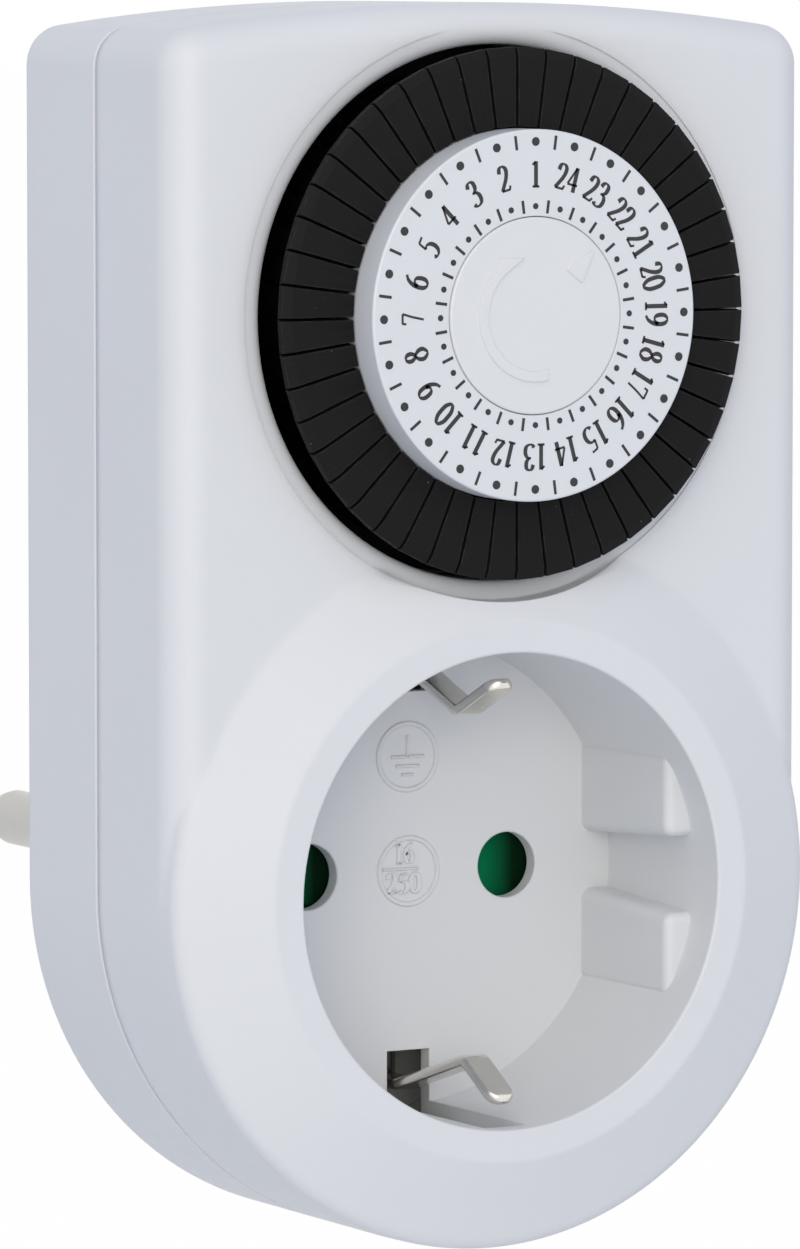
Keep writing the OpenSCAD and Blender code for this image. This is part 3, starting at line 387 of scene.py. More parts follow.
def shaped(base, shapes, operation="DIFFERENCE"):
    """Each shape is taken from the base, or added to it, with an exact boolean that is applied at once."""
    for points, faces in shapes:
        tool = piece("tool", points, faces)
        tool.modifiers.clear()
        base.modifiers.clear()
        step = base.modifiers.new("step", "BOOLEAN")
        step.operation = operation
        step.solver = "EXACT"
        step.object = tool
        result = bpy.data.meshes.new_from_object(base.evaluated_get(bpy.context.evaluated_depsgraph_get()))
        base.modifiers.clear()
        old = base.data
        result.name = old.name
        base.data = result
        bpy.data.meshes.remove(old)
        bpy.data.objects.remove(tool)
    flattened(base)
    return smoothed(base)


def own_place(tree):
    """Object coordinates: the place on the piece, in metres."""
    return new_node(tree, "TexCoord", {})["Object"]


def mapped(tree, vector, stretch=(1, 1, 1), shift=(0, 0, 0)):
    """Vector multiplied by the stretch along each axis, and then shifted."""
    return new_node(tree, "Mapping", {"Vector": vector, "Scale": stretch, "Location": shift})[0]


def vector_value(tree, operation, *vectors):
    """Number that a Vector Math node makes of the vectors, such as a length."""
    return new_node(tree, "VectorMath", dict(enumerate(vectors)), operation=operation)["Value"]


def noise(tree, scale, detail=2.0, place=None):
    """Noise at a place, which is the place on the piece if none is given: scale is in blobs a metre."""
    inputs = {"Vector": place or own_place(tree), "Scale": scale, "Detail": detail}
    return new_node(tree, "TexNoise", inputs)["Fac"]


def spread(tree, value, low, high, start=0.3, end=0.7):
    """Value mapped from the range start to end onto the range low to high."""
    inputs = {"Value": value, "From Min": start, "From Max": end, "To Min": low, "To Max": high}
    return new_node(tree, "MapRange", inputs)[0]


def tinted(tree, value, first, second):
    """Colour that runs from the first to the second as the value goes from 0 to 1."""
    return new_node(tree, "Mix", {"Factor": value, "A": first, "B": second}, data_type="RGBA")["Result"]


def shade(colour, share):
    """Colour made darker or lighter by a factor."""
    return tuple(c * share for c in colour)


def bumped(tree, height, depth_mm, under=None):
    """Normal of a surface raised by the height times the depth, on top of another bump if there is one."""
    inputs = {"Height": height, "Distance": depth_mm / 1000}
    if under:
        inputs["Normal"] = under
    return new_node(tree, "Bump", inputs)[0]


def moulded_plastic(name, colour, rough=0.4, grain_mm=0.22, grain_depth=0.006, mottle=0.02, gloss=0.5):
    """Moulded plastic: a faint cloudiness in its colour, an uneven shine, and the mould's fine grain."""
    material, tree, shader = new_material(name)
    cloud = spread(tree, noise(tree, PLASTIC_CLOUDS, 3.0), 0, 1)
    shine = noise(tree, PLASTIC_SHINE)
    wave = bumped(tree, noise(tree, PLASTIC_WAVES, 1.0), grain_depth * 0.8)
    grain = noise(tree, 1000.0 / grain_mm)
    feed(tree, shader, {
        "Base Color": tinted(tree, cloud, shade(colour, 1 - mottle), colour),
        "Roughness": spread(tree, shine, rough - 0.04, rough + 0.04),
        "Specular IOR Level": gloss,
        "Normal": bumped(tree, grain, grain_depth, wave),
    })
    return material


def front_half():
    """Rounded tray joined with the socket's cone and walls, then hollowed, and cut by the recess, the
    well and the holes."""
    a = np.radians(np.linspace(0, 90, 16))
    edge = list(zip(FRONT_EDGE_R * (1 - np.cos(a)), PLATE_Z - FRONT_EDGE_R * (1 - np.sin(a))))
    shell = piece("front_case", *case_loft([(SEAM_BEVEL, SEAM_Z), (0, SEAM_Z + SEAM_BEVEL)] + edge))
    foot = HALF_W - 0.05
    cone = turned([(foot, SEAM_Z + 2)]
                  + bend((foot - CONE_EDGE_R, PLATE_Z - CONE_EDGE_DROP), CONE_EDGE_R, 0, CONE_FACING, 10)
                  + bend((RIM_R - 0.1, RIM_Z - RIM_EDGE_R), RIM_EDGE_R, CONE_FACING, 90, 6), around=192)
    shaped(shell, [cone], "UNION")
    shaped(shell, [case_loft([(WALL, SEAM_Z - PAST), (WALL, PLATE_Z - WALL)])])
    socket = turned([(RIM_R, UNDER_FLOOR_Z), (RIM_R, RIM_Z - 1.5)])
    around_well = turned([(WELL_R + WELL_WALL, PLATE_Z - 6), (WELL_R + WELL_WALL, PLATE_Z - 1.2)], DIAL)
    shaped(shell, [socket, around_well], "UNION")
    lip_r = RECESS_R + RIM_LIP_R
    recess = turned([(RECESS_R, FLOOR_Z)] + bend((lip_r, RIM_Z - RIM_LIP_R), RIM_LIP_R, 180, 91, 8)
                    + [(lip_r, RIM_Z + 2 * PAST)], around=192)
    hole = [(PIN_HOLE_R, UNDER_FLOOR_Z - PAST), (PIN_HOLE_R, FLOOR_Z - 0.1),
            (PIN_HOLE_R + PIN_HOLE_BEVEL, FLOOR_Z + 0.05)]
    holes = [turned(hole, (x, 0), 64) for x in (-PIN_X, PIN_X)]
    shaped(shell, [recess, well()])
    shaped(shell, guide_blocks(), "UNION")
    return shaped(shell, holes + [clip_slot(1), clip_slot(-1), slide_opening()])


def well():
    """Round opening for the dial: its edge rolls over in a quarter of a superellipse, whose power of three
    keeps the land flat until near the edge, and a fine step runs round that."""
    a = np.radians(np.linspace(0, 90, 20))
    wide, deep = BEZEL_R - WELL_R, BEZEL_DEPTH - BEZEL_STEP
    along, up = np.cos(a).clip(0) ** (2 / BEZEL_POWER), np.sin(a) ** (2 / BEZEL_POWER)
    roll = list(zip(WELL_R + wide * (1 - along), PLATE_Z - BEZEL_DEPTH + deep * up))
    line_r = BEZEL_R + BEZEL_LINE
    step = [(BEZEL_R, PLATE_Z - 0.05), (line_r, PLATE_Z + 0.01), (line_r, RIM_Z + 2 * PAST)]
    return turned([(WELL_R, SEAM_Z - PAST)] + roll + step, DIAL, 192)


def across(outline, half):
    """Prism whose outline is given in (y, z) and runs from -half to half along x."""
    outline = np.asarray(outline, float)
    rings = np.array([np.column_stack([np.full(len(outline), x), outline]) for x in (-half, half)])
    return rings, loft_faces(*rings.shape[:2])


def clip_slot(side):
    """Slot in the floor for an earth clip, and the groove behind the clip, which runs out near the rim."""
    deep, below, above = RECESS_R + CLIP_GROOVE, UNDER_FLOOR_Z - PAST, RIM_Z - 1.5
    outline = [(CLIP_SLOT_R, below), (deep, below), (deep, FLOOR_Z + 2), (RECESS_R - 0.1, above),
               (CLIP_SLOT_R, above)]
    return across([(side * y, z) for y, z in outline], CLIP_SLOT_HALF)


def slide_opening():
    """Opening in the right-hand wall that the override slide reaches through."""
    half_y, half_z = OVERRIDE_HALF
    return oblong((HALF_W - WALL - PAST, OVERRIDE_Y - half_y, OVERRIDE_Z - half_z),
                  (HALF_W + PAST, OVERRIDE_Y + half_y, OVERRIDE_Z + half_z))


def guide_blocks():
    """Four blocks that steer the plug's flats: the channel between two of them widens to the front."""
    blocks = []
    back = RECESS_R + 0.8
    a = np.radians(np.linspace(0, 90, 6))
    heights = [FLOOR_Z - 0.3] + list(GUIDE_END_Z - GUIDE_EDGE * (1 - np.sin(a)))
    depths = [0] + list(GUIDE_EDGE * (1 - np.cos(a)))
    for side in (-1, 1):
        for half in (-1, 1):
            levels = []
            for z, depth in zip(heights, depths):
                share = (z - FLOOR_Z) / (GUIDE_END_Z - FLOOR_Z)
                low = CHANNEL_HALF[0] + share * (CHANNEL_HALF[1] - CHANNEL_HALF[0])
                corners = [(GUIDE_X, low), (back, low), (back, GUIDE_HALF), (GUIDE_X, GUIDE_HALF)]
                outline = inset(rounded(corners, GUIDE_CORNER_R), depth)
                levels.append((outline * (side, half), z))
            blocks.append(stacked(levels))
    return blocks


def soft_edged(material):
    """The shading rounds every edge by a small radius, and the foot of the socket's cone by a larger one:
    the radius grows with the distance from the socket's axis."""
    tree = material.node_tree
    away = vector_value(tree, "LENGTH", mapped(tree, own_place(tree), (1, 0, 1)))
    limits = [mm / 1000 for mm in SOFT_EDGE_R + SOFT_EDGE_AWAY]
    edge = new_node(tree, "Bevel", {"Radius": spread(tree, away, *limits)}, samples=6)
    for node in tree.nodes:
        if node.bl_idname == "ShaderNodeBump" and not node.inputs["Normal"].is_linked:
            feed(tree, node, {"Normal": edge[0]})
    return material


shell_white = moulded_plastic("shell_white", SHELL_WHITE, SHELL_ROUGH, gloss=SHELL_GLOSS)
case_white = soft_edged(moulded_plastic("case_white", SHELL_WHITE, SHELL_ROUGH, gloss=SHELL_GLOSS))
dressed(front_half(), "root", case_white, "shell_white", "front_shell")

# ---- Signs on the socket's floor ----
# Raised a fifth of a millimetre in the moulding, and as white: the earth sign in its ring, and the rating in
# plain numbers in another ring.
SIGN_RISE = 0.2
SIGN_EDGE = 0.12
RING_R = 2.98
RING_W = 0.42
EARTH_SIGN = (-0.1, 9.56)
EARTH_LINE = 0.28
EARTH_STEM = 1.75
EARTH_BARS = ((0, 1.55), (0.78, 1.1), (1.5, 0.55))  # how far below the middle, half length
RATING_H = 1.7
RATING_WEIGHT = 1.35
RATING = (  # numerals, middle, how much they are widened
    ("16", (-0.45, 1.5), 1.05),
    ("250", (-0.5, -1.0), 1.25),
)
RATING_BAR = (-2.45, 0.9, 0.2)  # from, to, height above the middle
RATING_LINE = 0.24
NUMBER_W = 0.46  # widths are shares of a numeral's height
NUMBER_PEN = (0.066, 0.166)  # thin and thick stroke
EVEN_PEN = {"-": NUMBER_PEN[0] * 1.3, "=": 0.085}  # strokes of an even width, by their mark in DIGITS


def rail(path, ahead, half_width):
    """The two sides of a stroke: its path moved left and right by half its width, square to its way."""
    left = np.stack([-ahead[:, 1], ahead[:, 0]], -1) * np.reshape(half_width, (-1, 1))
    return path + left, path - left


def curved(points, closed=False, steps=8):
    """Catmull-Rom curve through the points, and its unit direction at each step."""
    p = np.asarray(points, float)
    if closed:
        q = np.concatenate([p[-1:], p, p[:2]])
    else:
        q = np.concatenate([2 * p[:1] - p[1:2], p, 2 * p[-1:] - p[-2:-1]])
    spans = len(q) - 3
    t = np.linspace(0, 1, steps, endpoint=False)[None, :, None]
    a, b, c, d = (q[k:k + spans][:, None] for k in range(4))
    slope, bow, twist = c - a, 2 * a - 5 * b + 4 * c - d, 3 * b - a - 3 * c + d
    path = 0.5 * (2 * b + slope * t + bow * t ** 2 + twist * t ** 3)
    ahead = 0.5 * (slope + 2 * bow * t + 3 * twist * t ** 2)
    path, ahead = path.reshape(-1, 2), ahead.reshape(-1, 2)
    if not closed:
        path, ahead = np.vstack([path, p[-1:]]), np.vstack([ahead, ahead[-1:]])
    return path, ahead / np.maximum(np.linalg.norm(ahead, axis=1)[:, None], 1e-9)


def broad_pen(ahead):
    """Half width of a stroke by its direction: thick where it runs up or down, thin where it runs across."""
    thin, thick = NUMBER_PEN
    return (thin + (thick - thin) * np.abs(ahead[:, 1]) ** 1.3) / 2


def ribbon(left, right, low, high, edge, closed=False):
    """Raised ribbon between two rails: an upright foot on each side and a narrower top."""
    middle = (left + right) / 2
    shy = np.clip(edge / np.maximum(np.linalg.norm(left - middle, axis=1), 1e-9), 0, 0.45)[:, None]
    top_l, top_r = left + (middle - left) * shy, right + (middle - right) * shy
    rows = [(left, low), (left, high - edge), (top_l, high),
            (top_r, high), (right, high - edge), (right, low)]
    grid = np.stack([np.column_stack([xy, np.full(len(xy), z)]) for xy, z in rows], 1)
    if closed:
        grid = np.concatenate([grid, grid[:1]])
        return grid, loft_faces(len(grid), len(rows), False)
    return grid, loft_faces(len(grid), len(rows))


DIGITS = {  # strokes in a box one high: "o" is closed, "-" and "=" are of even width, "" is of a broad pen
    "0": [("o", [(0.23, 0.98), (0.07, 0.78), (0.04, 0.5), (0.07, 0.22), (0.23, 0.02), (0.39, 0.22),
                 (0.42, 0.5), (0.39, 0.78)])],
    "1": [("", [(0.24, 0.03), (0.24, 0.97)]),
          ("-", [(0.09, 0.84), (0.23, 0.96)]),
          ("-", [(0.09, 0.03), (0.39, 0.03)])],
    "2": [("", [(0.06, 0.73), (0.11, 0.92), (0.24, 0.98), (0.37, 0.88), (0.38, 0.7), (0.3, 0.47),
                (0.15, 0.22), (0.05, 0.06)]),
          ("=", [(0.04, 0.06), (0.4, 0.06)]),
          ("-", [(0.38, 0.05), (0.44, 0.2)])],
    "3": [("", [(0.06, 0.78), (0.12, 0.93), (0.24, 0.98), (0.36, 0.89), (0.36, 0.68), (0.27, 0.56),
                (0.16, 0.52)]),
          ("", [(0.2, 0.53), (0.34, 0.48), (0.41, 0.32), (0.37, 0.11), (0.22, 0.02), (0.09, 0.05),
                (0.04, 0.14)])],
    "4": [("-", [(0.32, 0.97), (0.03, 0.33)]),
          ("=", [(0.02, 0.31), (0.46, 0.31)]),
          ("", [(0.33, 0.03), (0.33, 0.97)])],
    "5": [("=", [(0.13, 0.93), (0.4, 0.96)]),
          ("-", [(0.13, 0.93), (0.08, 0.58)]),
          ("", [(0.08, 0.58), (0.22, 0.62), (0.36, 0.52), (0.41, 0.33), (0.36, 0.13), (0.22, 0.02),
                (0.1, 0.04), (0.04, 0.12)])],
    "6": [("", [(0.39, 0.97), (0.22, 0.86), (0.09, 0.64), (0.05, 0.38), (0.09, 0.13), (0.24, 0.02),
                (0.38, 0.13), (0.41, 0.32), (0.36, 0.52), (0.24, 0.59), (0.12, 0.52), (0.07, 0.42)])],
    "7": [("=", [(0.05, 0.92), (0.42, 0.92)]),
          ("-", [(0.05, 0.93), (0.03, 0.76)]),
          ("-", [(0.42, 0.92), (0.3, 0.5), (0.2, 0.02)])],
    "8": [("o", [(0.23, 0.98), (0.11, 0.89), (0.1, 0.71), (0.23, 0.55), (0.36, 0.71), (0.35, 0.89)]),
          ("o", [(0.23, 0.54), (0.07, 0.4), (0.05, 0.18), (0.23, 0.02), (0.41, 0.18), (0.39, 0.4)])],
}
DIGITS["9"] = [(kind, [(NUMBER_W - x, 1.0 - y) for x, y in points]) for kind, points in DIGITS["6"]]


def numeral(text, height, centre, turn, low, high, edge=0.0, squeeze=1.0, gap=0.07, thicker=1.0):
    """Numerals side by side about a centre, turned anticlockwise by the angle in degrees."""
    whole = len(text) * NUMBER_W + (len(text) - 1) * gap
    c, s = math.cos(math.radians(turn)), math.sin(math.radians(turn))
    spin = np.array([[c, s], [-s, c]])
    shapes = []
    for place, digit in enumerate(text):
        middle = (place * (NUMBER_W + gap) - whole / 2, -0.5)
        for kind, points in DIGITS[digit]:
            path, ahead = curved(points, kind == "o")
            half = np.full(len(path), EVEN_PEN[kind] / 2) if kind in EVEN_PEN else broad_pen(ahead)
            sides = [((side + middle) * (height * squeeze, height)) @ spin + centre
                     for side in rail(path, ahead, half * thicker)]
            shapes.append(ribbon(*sides, low, high, edge, kind == "o"))
    return shapes


def joined(shapes):
    """Several solids as the points and faces of one mesh."""
    points, faces, count = [], [], 0
    for p, f in shapes:
        flat = np.asarray(p, float).reshape(-1, 3)
        points.append(flat)
        faces += [[k + count for k in face] for face in f]
        count += len(flat)
    return np.concatenate(points), faces


def sign_ring(centre):
    """Round raised line about a sign."""
    a = np.linspace(0, 2 * np.pi, 72, endpoint=False)
    around = np.stack([np.cos(a), np.sin(a)], -1)
    return ribbon(around * (RING_R - RING_W) + centre, around * RING_R + centre,
                  FLOOR_Z - 0.05, FLOOR_Z + SIGN_RISE, SIGN_EDGE, True)


def bar(start, end, width, low, high, edge):
    """Straight raised bar."""
    path = np.array([start, end], float)
    ahead = np.repeat((path[1:] - path[:1]) / np.linalg.norm(path[1] - path[0]), 2, 0)
    return ribbon(*rail(path, ahead, width / 2), low, high, edge)


def floor_signs():
    """Earth sign: an upright line on three bars that get shorter downwards. Rating: 16 over 250."""
    low, high = FLOOR_Z - 0.05, FLOOR_Z + SIGN_RISE
    x, y = EARTH_SIGN
    shapes = [sign_ring(EARTH_SIGN), bar(EARTH_SIGN, (x, y + EARTH_STEM), EARTH_LINE, low, high, SIGN_EDGE)]
    for drop, half in EARTH_BARS:
        shapes.append(bar((x - half, y - drop), (x + half, y - drop), EARTH_LINE, low, high, SIGN_EDGE))
    start, end, level = RATING_BAR
    shapes += [sign_ring((0, 0)), bar((start, level), (end, level), RATING_LINE, low, high, SIGN_EDGE)]
    for text, middle, wider in RATING:
        shapes += numeral(text, RATING_H, middle, 0, low, high, SIGN_EDGE * 0.6, wider, thicker=RATING_WEIGHT)
    return piece("floor_signs", *joined(shapes))


dressed(floor_signs(), "root", case_white, "shell_white")

# ---- Rear half of the case, and the plug ----
# The same white ABS. Four screws sit deep in round sinks, and the plug is a moulding of its own with
# flats, ribs and earth grooves, which comes through the back from inside.
BACK_Z = 24.5
INNER_Z = 26.5
BACK_EDGE_R = 1.5
SCREW_SINK = 2.6
SCREW_HOLE_R = 2.85
SCREW_HOLE_BEVEL = 0.3
SCREW_BORE_R = 1.6
SCREW_BOSS_R = 3.1
TOP_SCREW = (23.5, CASE_TOP - 7.6)
LOW_SCREW = (RECESS_R + 5.7) * math.cos(math.radians(45))
SCREWS = [(-TOP_SCREW[0], TOP_SCREW[1]), TOP_SCREW, (-LOW_SCREW, -LOW_SCREW), (LOW_SCREW, -LOW_SCREW)]
PLUG_R = 18.5
PLUG_H = 18.5
PLUG_EDGE_R = 0.9
PLUG_ROOT_R = 0.5
PLUG_FLAT_X = 15.9
RIB_LEAD = (2.6, 5.2)  # how far each rib's end slopes back, and how high the slope is
COLLAR_R = 21.0
COLLAR_EDGE_R = 0.6
COLLAR_SPARE = 0.05
COLLAR_BEVEL = 0.2
FLANGE_R = 22.0
FLANGE_Z = 25.5
PIN_R = 2.4
EARTH_GROOVE_Y = 17.1
EARTH_GROOVE_HALF = 2.4


def rear_half():
    """Rounded tray, hollowed from the seam, with four bosses, their sinks and the plug's opening."""
    a = np.radians(np.linspace(0, 90, 9))
    edge = list(zip(BACK_EDGE_R * (1 - np.sin(a)), BACK_Z + BACK_EDGE_R * (1 - np.cos(a))))
    depth, wide = SEAM_GROOVE
    groove = [(0, SEAM_Z - wide - 0.1), (0.1, SEAM_Z - wide), (depth, SEAM_Z - wide), (depth, SEAM_Z)]
    shell = piece("rear_case", *case_loft(edge + groove))
    shaped(shell, [case_loft([(WALL, INNER_Z), (WALL, SEAM_Z + PAST)])])
    bosses = [turned([(SCREW_BOSS_R, BACK_Z + 0.5), (SCREW_BOSS_R, SEAM_Z)], c, 48) for c in SCREWS]
    shaped(shell, bosses, "UNION")
    seat, mouth = BACK_Z + SCREW_SINK, SCREW_HOLE_R + SCREW_HOLE_BEVEL
    sink = [(mouth, BACK_Z - PAST), (mouth, BACK_Z), (SCREW_HOLE_R, BACK_Z + SCREW_HOLE_BEVEL),
            (SCREW_HOLE_R, seat), (SCREW_BORE_R, seat), (SCREW_BORE_R, SEAM_Z + PAST)]
    round_collar, round_flange = COLLAR_R + COLLAR_SPARE, FLANGE_R + COLLAR_SPARE
    mouth = round_collar + COLLAR_BEVEL
    opening = [(mouth, BACK_Z - PAST), (mouth, BACK_Z), (round_collar, BACK_Z + COLLAR_BEVEL),
               (round_collar, FLANGE_Z), (round_flange, FLANGE_Z), (round_flange, INNER_Z + PAST)]
    return shaped(shell, [turned(sink, c, 48) for c in SCREWS] + [turned(opening, around=192)])


def plug():
    """Turned plug and collar, with a pair of flats beside each rib, and an earth groove above and below."""
    profile = (bend((PLUG_R - PLUG_EDGE_R, PLUG_EDGE_R), PLUG_EDGE_R, -90, 0, 6)
               + bend((PLUG_R + PLUG_ROOT_R, PLUG_H - PLUG_ROOT_R), PLUG_ROOT_R, 180, 90, 4)
               + bend((COLLAR_R - COLLAR_EDGE_R, PLUG_H + COLLAR_EDGE_R), COLLAR_EDGE_R, -90, 0, 5)
               + [(COLLAR_R, FLANGE_Z), (FLANGE_R, FLANGE_Z), (FLANGE_R, INNER_Z)])
    body = piece("plug_body", *turned(profile, around=192))
    flat, outside, rib, reach = PLUG_FLAT_X, PLUG_R + 3, CHANNEL_HALF[0] - 0.1, GUIDE_HALF + 0.3
    corners = np.array([(flat, rib), (outside, rib), (outside, reach), (flat, reach)])
    cutters = []
    for side in (-1, 1):
        for half in (-1, 1):
            outline = rounded(corners * (side, half), 0.3, 3)
            cutters.append(stacked([(outline, -PAST), (outline, PLUG_H - 0.6)]))
        back, up = RIB_LEAD
        slope = [(PLUG_R - back, -PAST), (PLUG_R - back, 0), (PLUG_R + 0.02, up),
                 (outside, up), (outside, -PAST)]
        rings, faces = across([(side * x, z) for x, z in slope], rib + 0.02)
        cutters.append((rings[..., [1, 0, 2]], faces))
        low, high = sorted((side * EARTH_GROOVE_Y, side * outside))
        cutters.append(oblong((-EARTH_GROOVE_HALF, low, -PAST), (EARTH_GROOVE_HALF, high, PLUG_H - 0.5), 0.2))
    shaped(body, cutters)
    seat = [(PIN_R + 0.25, -PAST), (PIN_R + 0.25, 0), (PIN_R - 0.3, 0.3), (PIN_R - 0.3, 2.5)]
    return shaped(body, [turned(seat, (x, 0), 48) for x in (-PIN_X, PIN_X)])


dressed(rear_half(), "root", shell_white, "shell_white", "rear_shell")
dressed(plug(), "root", shell_white, "shell_white", "plug_body")

# ---- Metal that shows ----
# Nickel-plated brass pins, and steel screws and earth strip. They keep the frame's own meshes, with
# their round faces smoothed.
METAL_CLOUDS = 260.0  # blobs a metre in the metal's colour, in its shine and across its drawn lines
METAL_SHINE = 900.0
METAL_LINES = 500.0
NICKEL = (0.53, 0.525, 0.51)
STEEL = (0.56, 0.57, 0.58)


def drawn_metal(name, colour, rough, streak=(1.0, 12.0, 12.0), streak_depth=0.004, uneven=1.0):
    """Plated or drawn metal: an uneven shine and faint lines along the drawing direction."""
    material, tree, shader = new_material(name)
    cloud = spread(tree, noise(tree, METAL_CLOUDS, 3.0), 0, 1)
    shine = noise(tree, METAL_SHINE, 3.0)
    lines = noise(tree, METAL_LINES, 2.0, mapped(tree, own_place(tree), streak))
    feed(tree, shader, {
        "Base Color": tinted(tree, cloud, shade(colour, 1 - 0.12 * uneven), colour),
        "Metallic": 1.0,
        "Roughness": spread(tree, shine, rough - 0.06 * uneven, rough + 0.08 * uneven),
        "Normal": bumped(tree, lines, streak_depth),
    })
    return material


def refinished(node, material):
    """A node of the frame gets its material, and its round faces are welded and smoothed."""
    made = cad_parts[node]
    made.data.materials.clear()
    made.data.materials.append(material)
    made.data.shade_smooth()
    weld = made.modifiers.new("weld", "WELD")
    weld.merge_threshold = 1e-6
    split = made.modifiers.new("sharp edges", "EDGE_SPLIT")
    split.split_angle = math.radians(SMOOTH_TO)
    weighted = made.modifiers.new("flat faces", "WEIGHTED_NORMAL")
    weighted.keep_sharp = True


nickel = drawn_metal("nickel", NICKEL, 0.3, streak=(6.0, 0.5, 6.0), streak_depth=0.0008, uneven=0.4)
steel = drawn_metal("steel", STEEL, 0.34)
for node in ("live_pin", "neutral_pin"):
    refinished(node, nickel)
for node in ("case_screws", "plug_earth_strip"):
    refinished(node, steel)

# ---- Earth clips of the socket ----
# One nickel-plated spring strip lies behind the floor. Its two ends rise through the slots, lean inwards
# to a bend that touches the plug, and turn back out to rounded tips.
CLIP_HALF = 1.3
CLIP_T = 0.9
CLIP_EDGE = 0.3
CLIP_UPPER = [(17.0, 52.2), (14.2, 46.2)]  # tip and contact bend, as (from the middle, height)
CLIP_LOWER = [(17.4, 52.4), (14.45, 47.35)]
CLIP_ROOT = [(17.9, 36.1), (17.9, 31.25)]
CLIP_BEND_R = (1.4, 2.0, 1.0)
CLIP_NICKEL = (0.82, 0.79, 0.73)


def clip_line(steps=7):
    """Whole route from tip to tip with its bends rounded: straight runs joined by arcs tangent to both."""
    lower = CLIP_LOWER + CLIP_ROOT
    p = np.array(CLIP_UPPER + CLIP_ROOT + [(-y, z) for y, z in lower[::-1]])
    line = [p[:1]]
    for k, radius in enumerate(CLIP_BEND_R + CLIP_BEND_R[::-1], 1):
        corner = rounded([p[k - 1], p[k], p[k + 1]], (0.01, radius, 0.01), steps)
        line.append(corner[steps + 1:2 * (steps + 1)])
    return np.concatenate(line + [p[-1:]])


def rounded_tips(line, steps=10):
    """The route with close points near both tips, where the width follows a quarter circle and the thickness
    a smaller one, and how far each point lies from the nearer tip: past its rounding, that is just far."""
    a = np.radians(np.linspace(4, 90, steps))
    into = CLIP_HALF * (1 - np.sin(a))[::-1]
    into = np.unique(np.concatenate([into, CLIP_T / 2 * (1 - np.cos(a))]))
    first, last = (line[1] - line[0]), (line[-2] - line[-1])
    first, last = first / np.linalg.norm(first), last / np.linalg.norm(last)
    points = np.vstack([line[0] + first * into[:, None], line[1:-1], (line[-1] + last * into[:, None])[::-1]])
    far = np.full(len(line) - 2, 99.0)
    return points, np.concatenate([into, far, into[::-1]])


def clip_strip():
    """Strip swept along the route: each ring is a rectangle with rounded edges. A point at depth d into a
    tip is as wide as a circle of the half width there, and its thickness rounds off in the same way."""
    line, depth = rounded_tips(clip_line())
    ahead = np.gradient(line, axis=0)
    ahead /= np.linalg.norm(ahead, axis=1)[:, None]
    normal = np.stack([-ahead[:, 1], ahead[:, 0]], -1)
    wide = np.sqrt(np.maximum(CLIP_HALF ** 2 - np.maximum(CLIP_HALF - depth, 0) ** 2, 0.01))[:, None]
    thick = np.sqrt(np.maximum(1 - np.maximum(1 - depth / (CLIP_T / 2), 0) ** 2, 0.01))[:, None]
    outline = rounded([(-1, -1), (1, -1), (1, 1), (-1, 1)], 0.999, 5)
    across_strip = np.sign(outline[:, 0]) * (wide - CLIP_EDGE * (1 - np.abs(outline[:, 0])))
    through = np.clip(outline[:, 1], -1, 1) * CLIP_T / 2 * thick
    y = line[:, None, 0] + normal[:, None, 0] * through
    z = line[:, None, 1] + normal[:, None, 1] * through
    grid = np.stack([across_strip, y, z], -1)
    return grid, loft_faces(*grid.shape[:2])


clip_nickel = drawn_metal("clip_nickel", CLIP_NICKEL, 0.25, (5.0, 0.5, 0.5), 0.0006, 0.3)
dressed(piece("socket_clips", *clip_strip(), 40.0), "root", clip_nickel, "nickel", "socket_earth_clips")

# ---- Shutter ----
# Green child-protection shutter, seen through the two pin holes, which a plug's pins push aside by its ramps.
# It keeps the frame's mesh, whose face is plain there, so painted shade stands in for the ramps' shading: the
# green darkens from left to right.
SHUTTER_GREEN = (0.0006, 0.175, 0.064)
# The second green is painted shade. The span after it gives where that painted shade grows from none to full,
# as distances from the middle.
SHUTTER_PAINTED_SHADE = (0.0003, 0.011, 0.0035)
PAINTED_SHADE_SPAN = (8.0, 11.0)  # from the lightest to the deepest green, as distances from the middle


def axes(tree, vector):
    """The x, y and z of a vector, by their capital letters."""
    return new_node(tree, "SeparateXYZ", {"Vector": vector})


def ramped_green():
    """Green plastic with painted shade that darkens it under each pin hole, standing in for the shading of
    the
    ramps: x is taken modulo the distance between the pins, so that both sides read alike."""
    material = moulded_plastic("shutter_green", SHUTTER_GREEN, 0.55, grain_mm=0.3, grain_depth=0.004,
                               mottle=0.1, gloss=0.05)
    tree = material.node_tree
    shader = tree.nodes["Principled BSDF"]
    plain = shader.inputs["Base Color"].links[0].from_socket
    lane = calculated(tree, "FLOORED_MODULO", axes(tree, own_place(tree))["X"], 2 * PIN_X / 1000)
    # Painted shade: the green darkens across each hole, where the ramps would be shaded.
    painted_shade = spread(tree, lane, 0, 1, PAINTED_SHADE_SPAN[0] / 1000, PAINTED_SHADE_SPAN[1] / 1000)
    feed(tree, shader, {"Base Color": tinted(tree, painted_shade, plain, SHUTTER_PAINTED_SHADE)})
    return material


refinished("shutter", ramped_green())

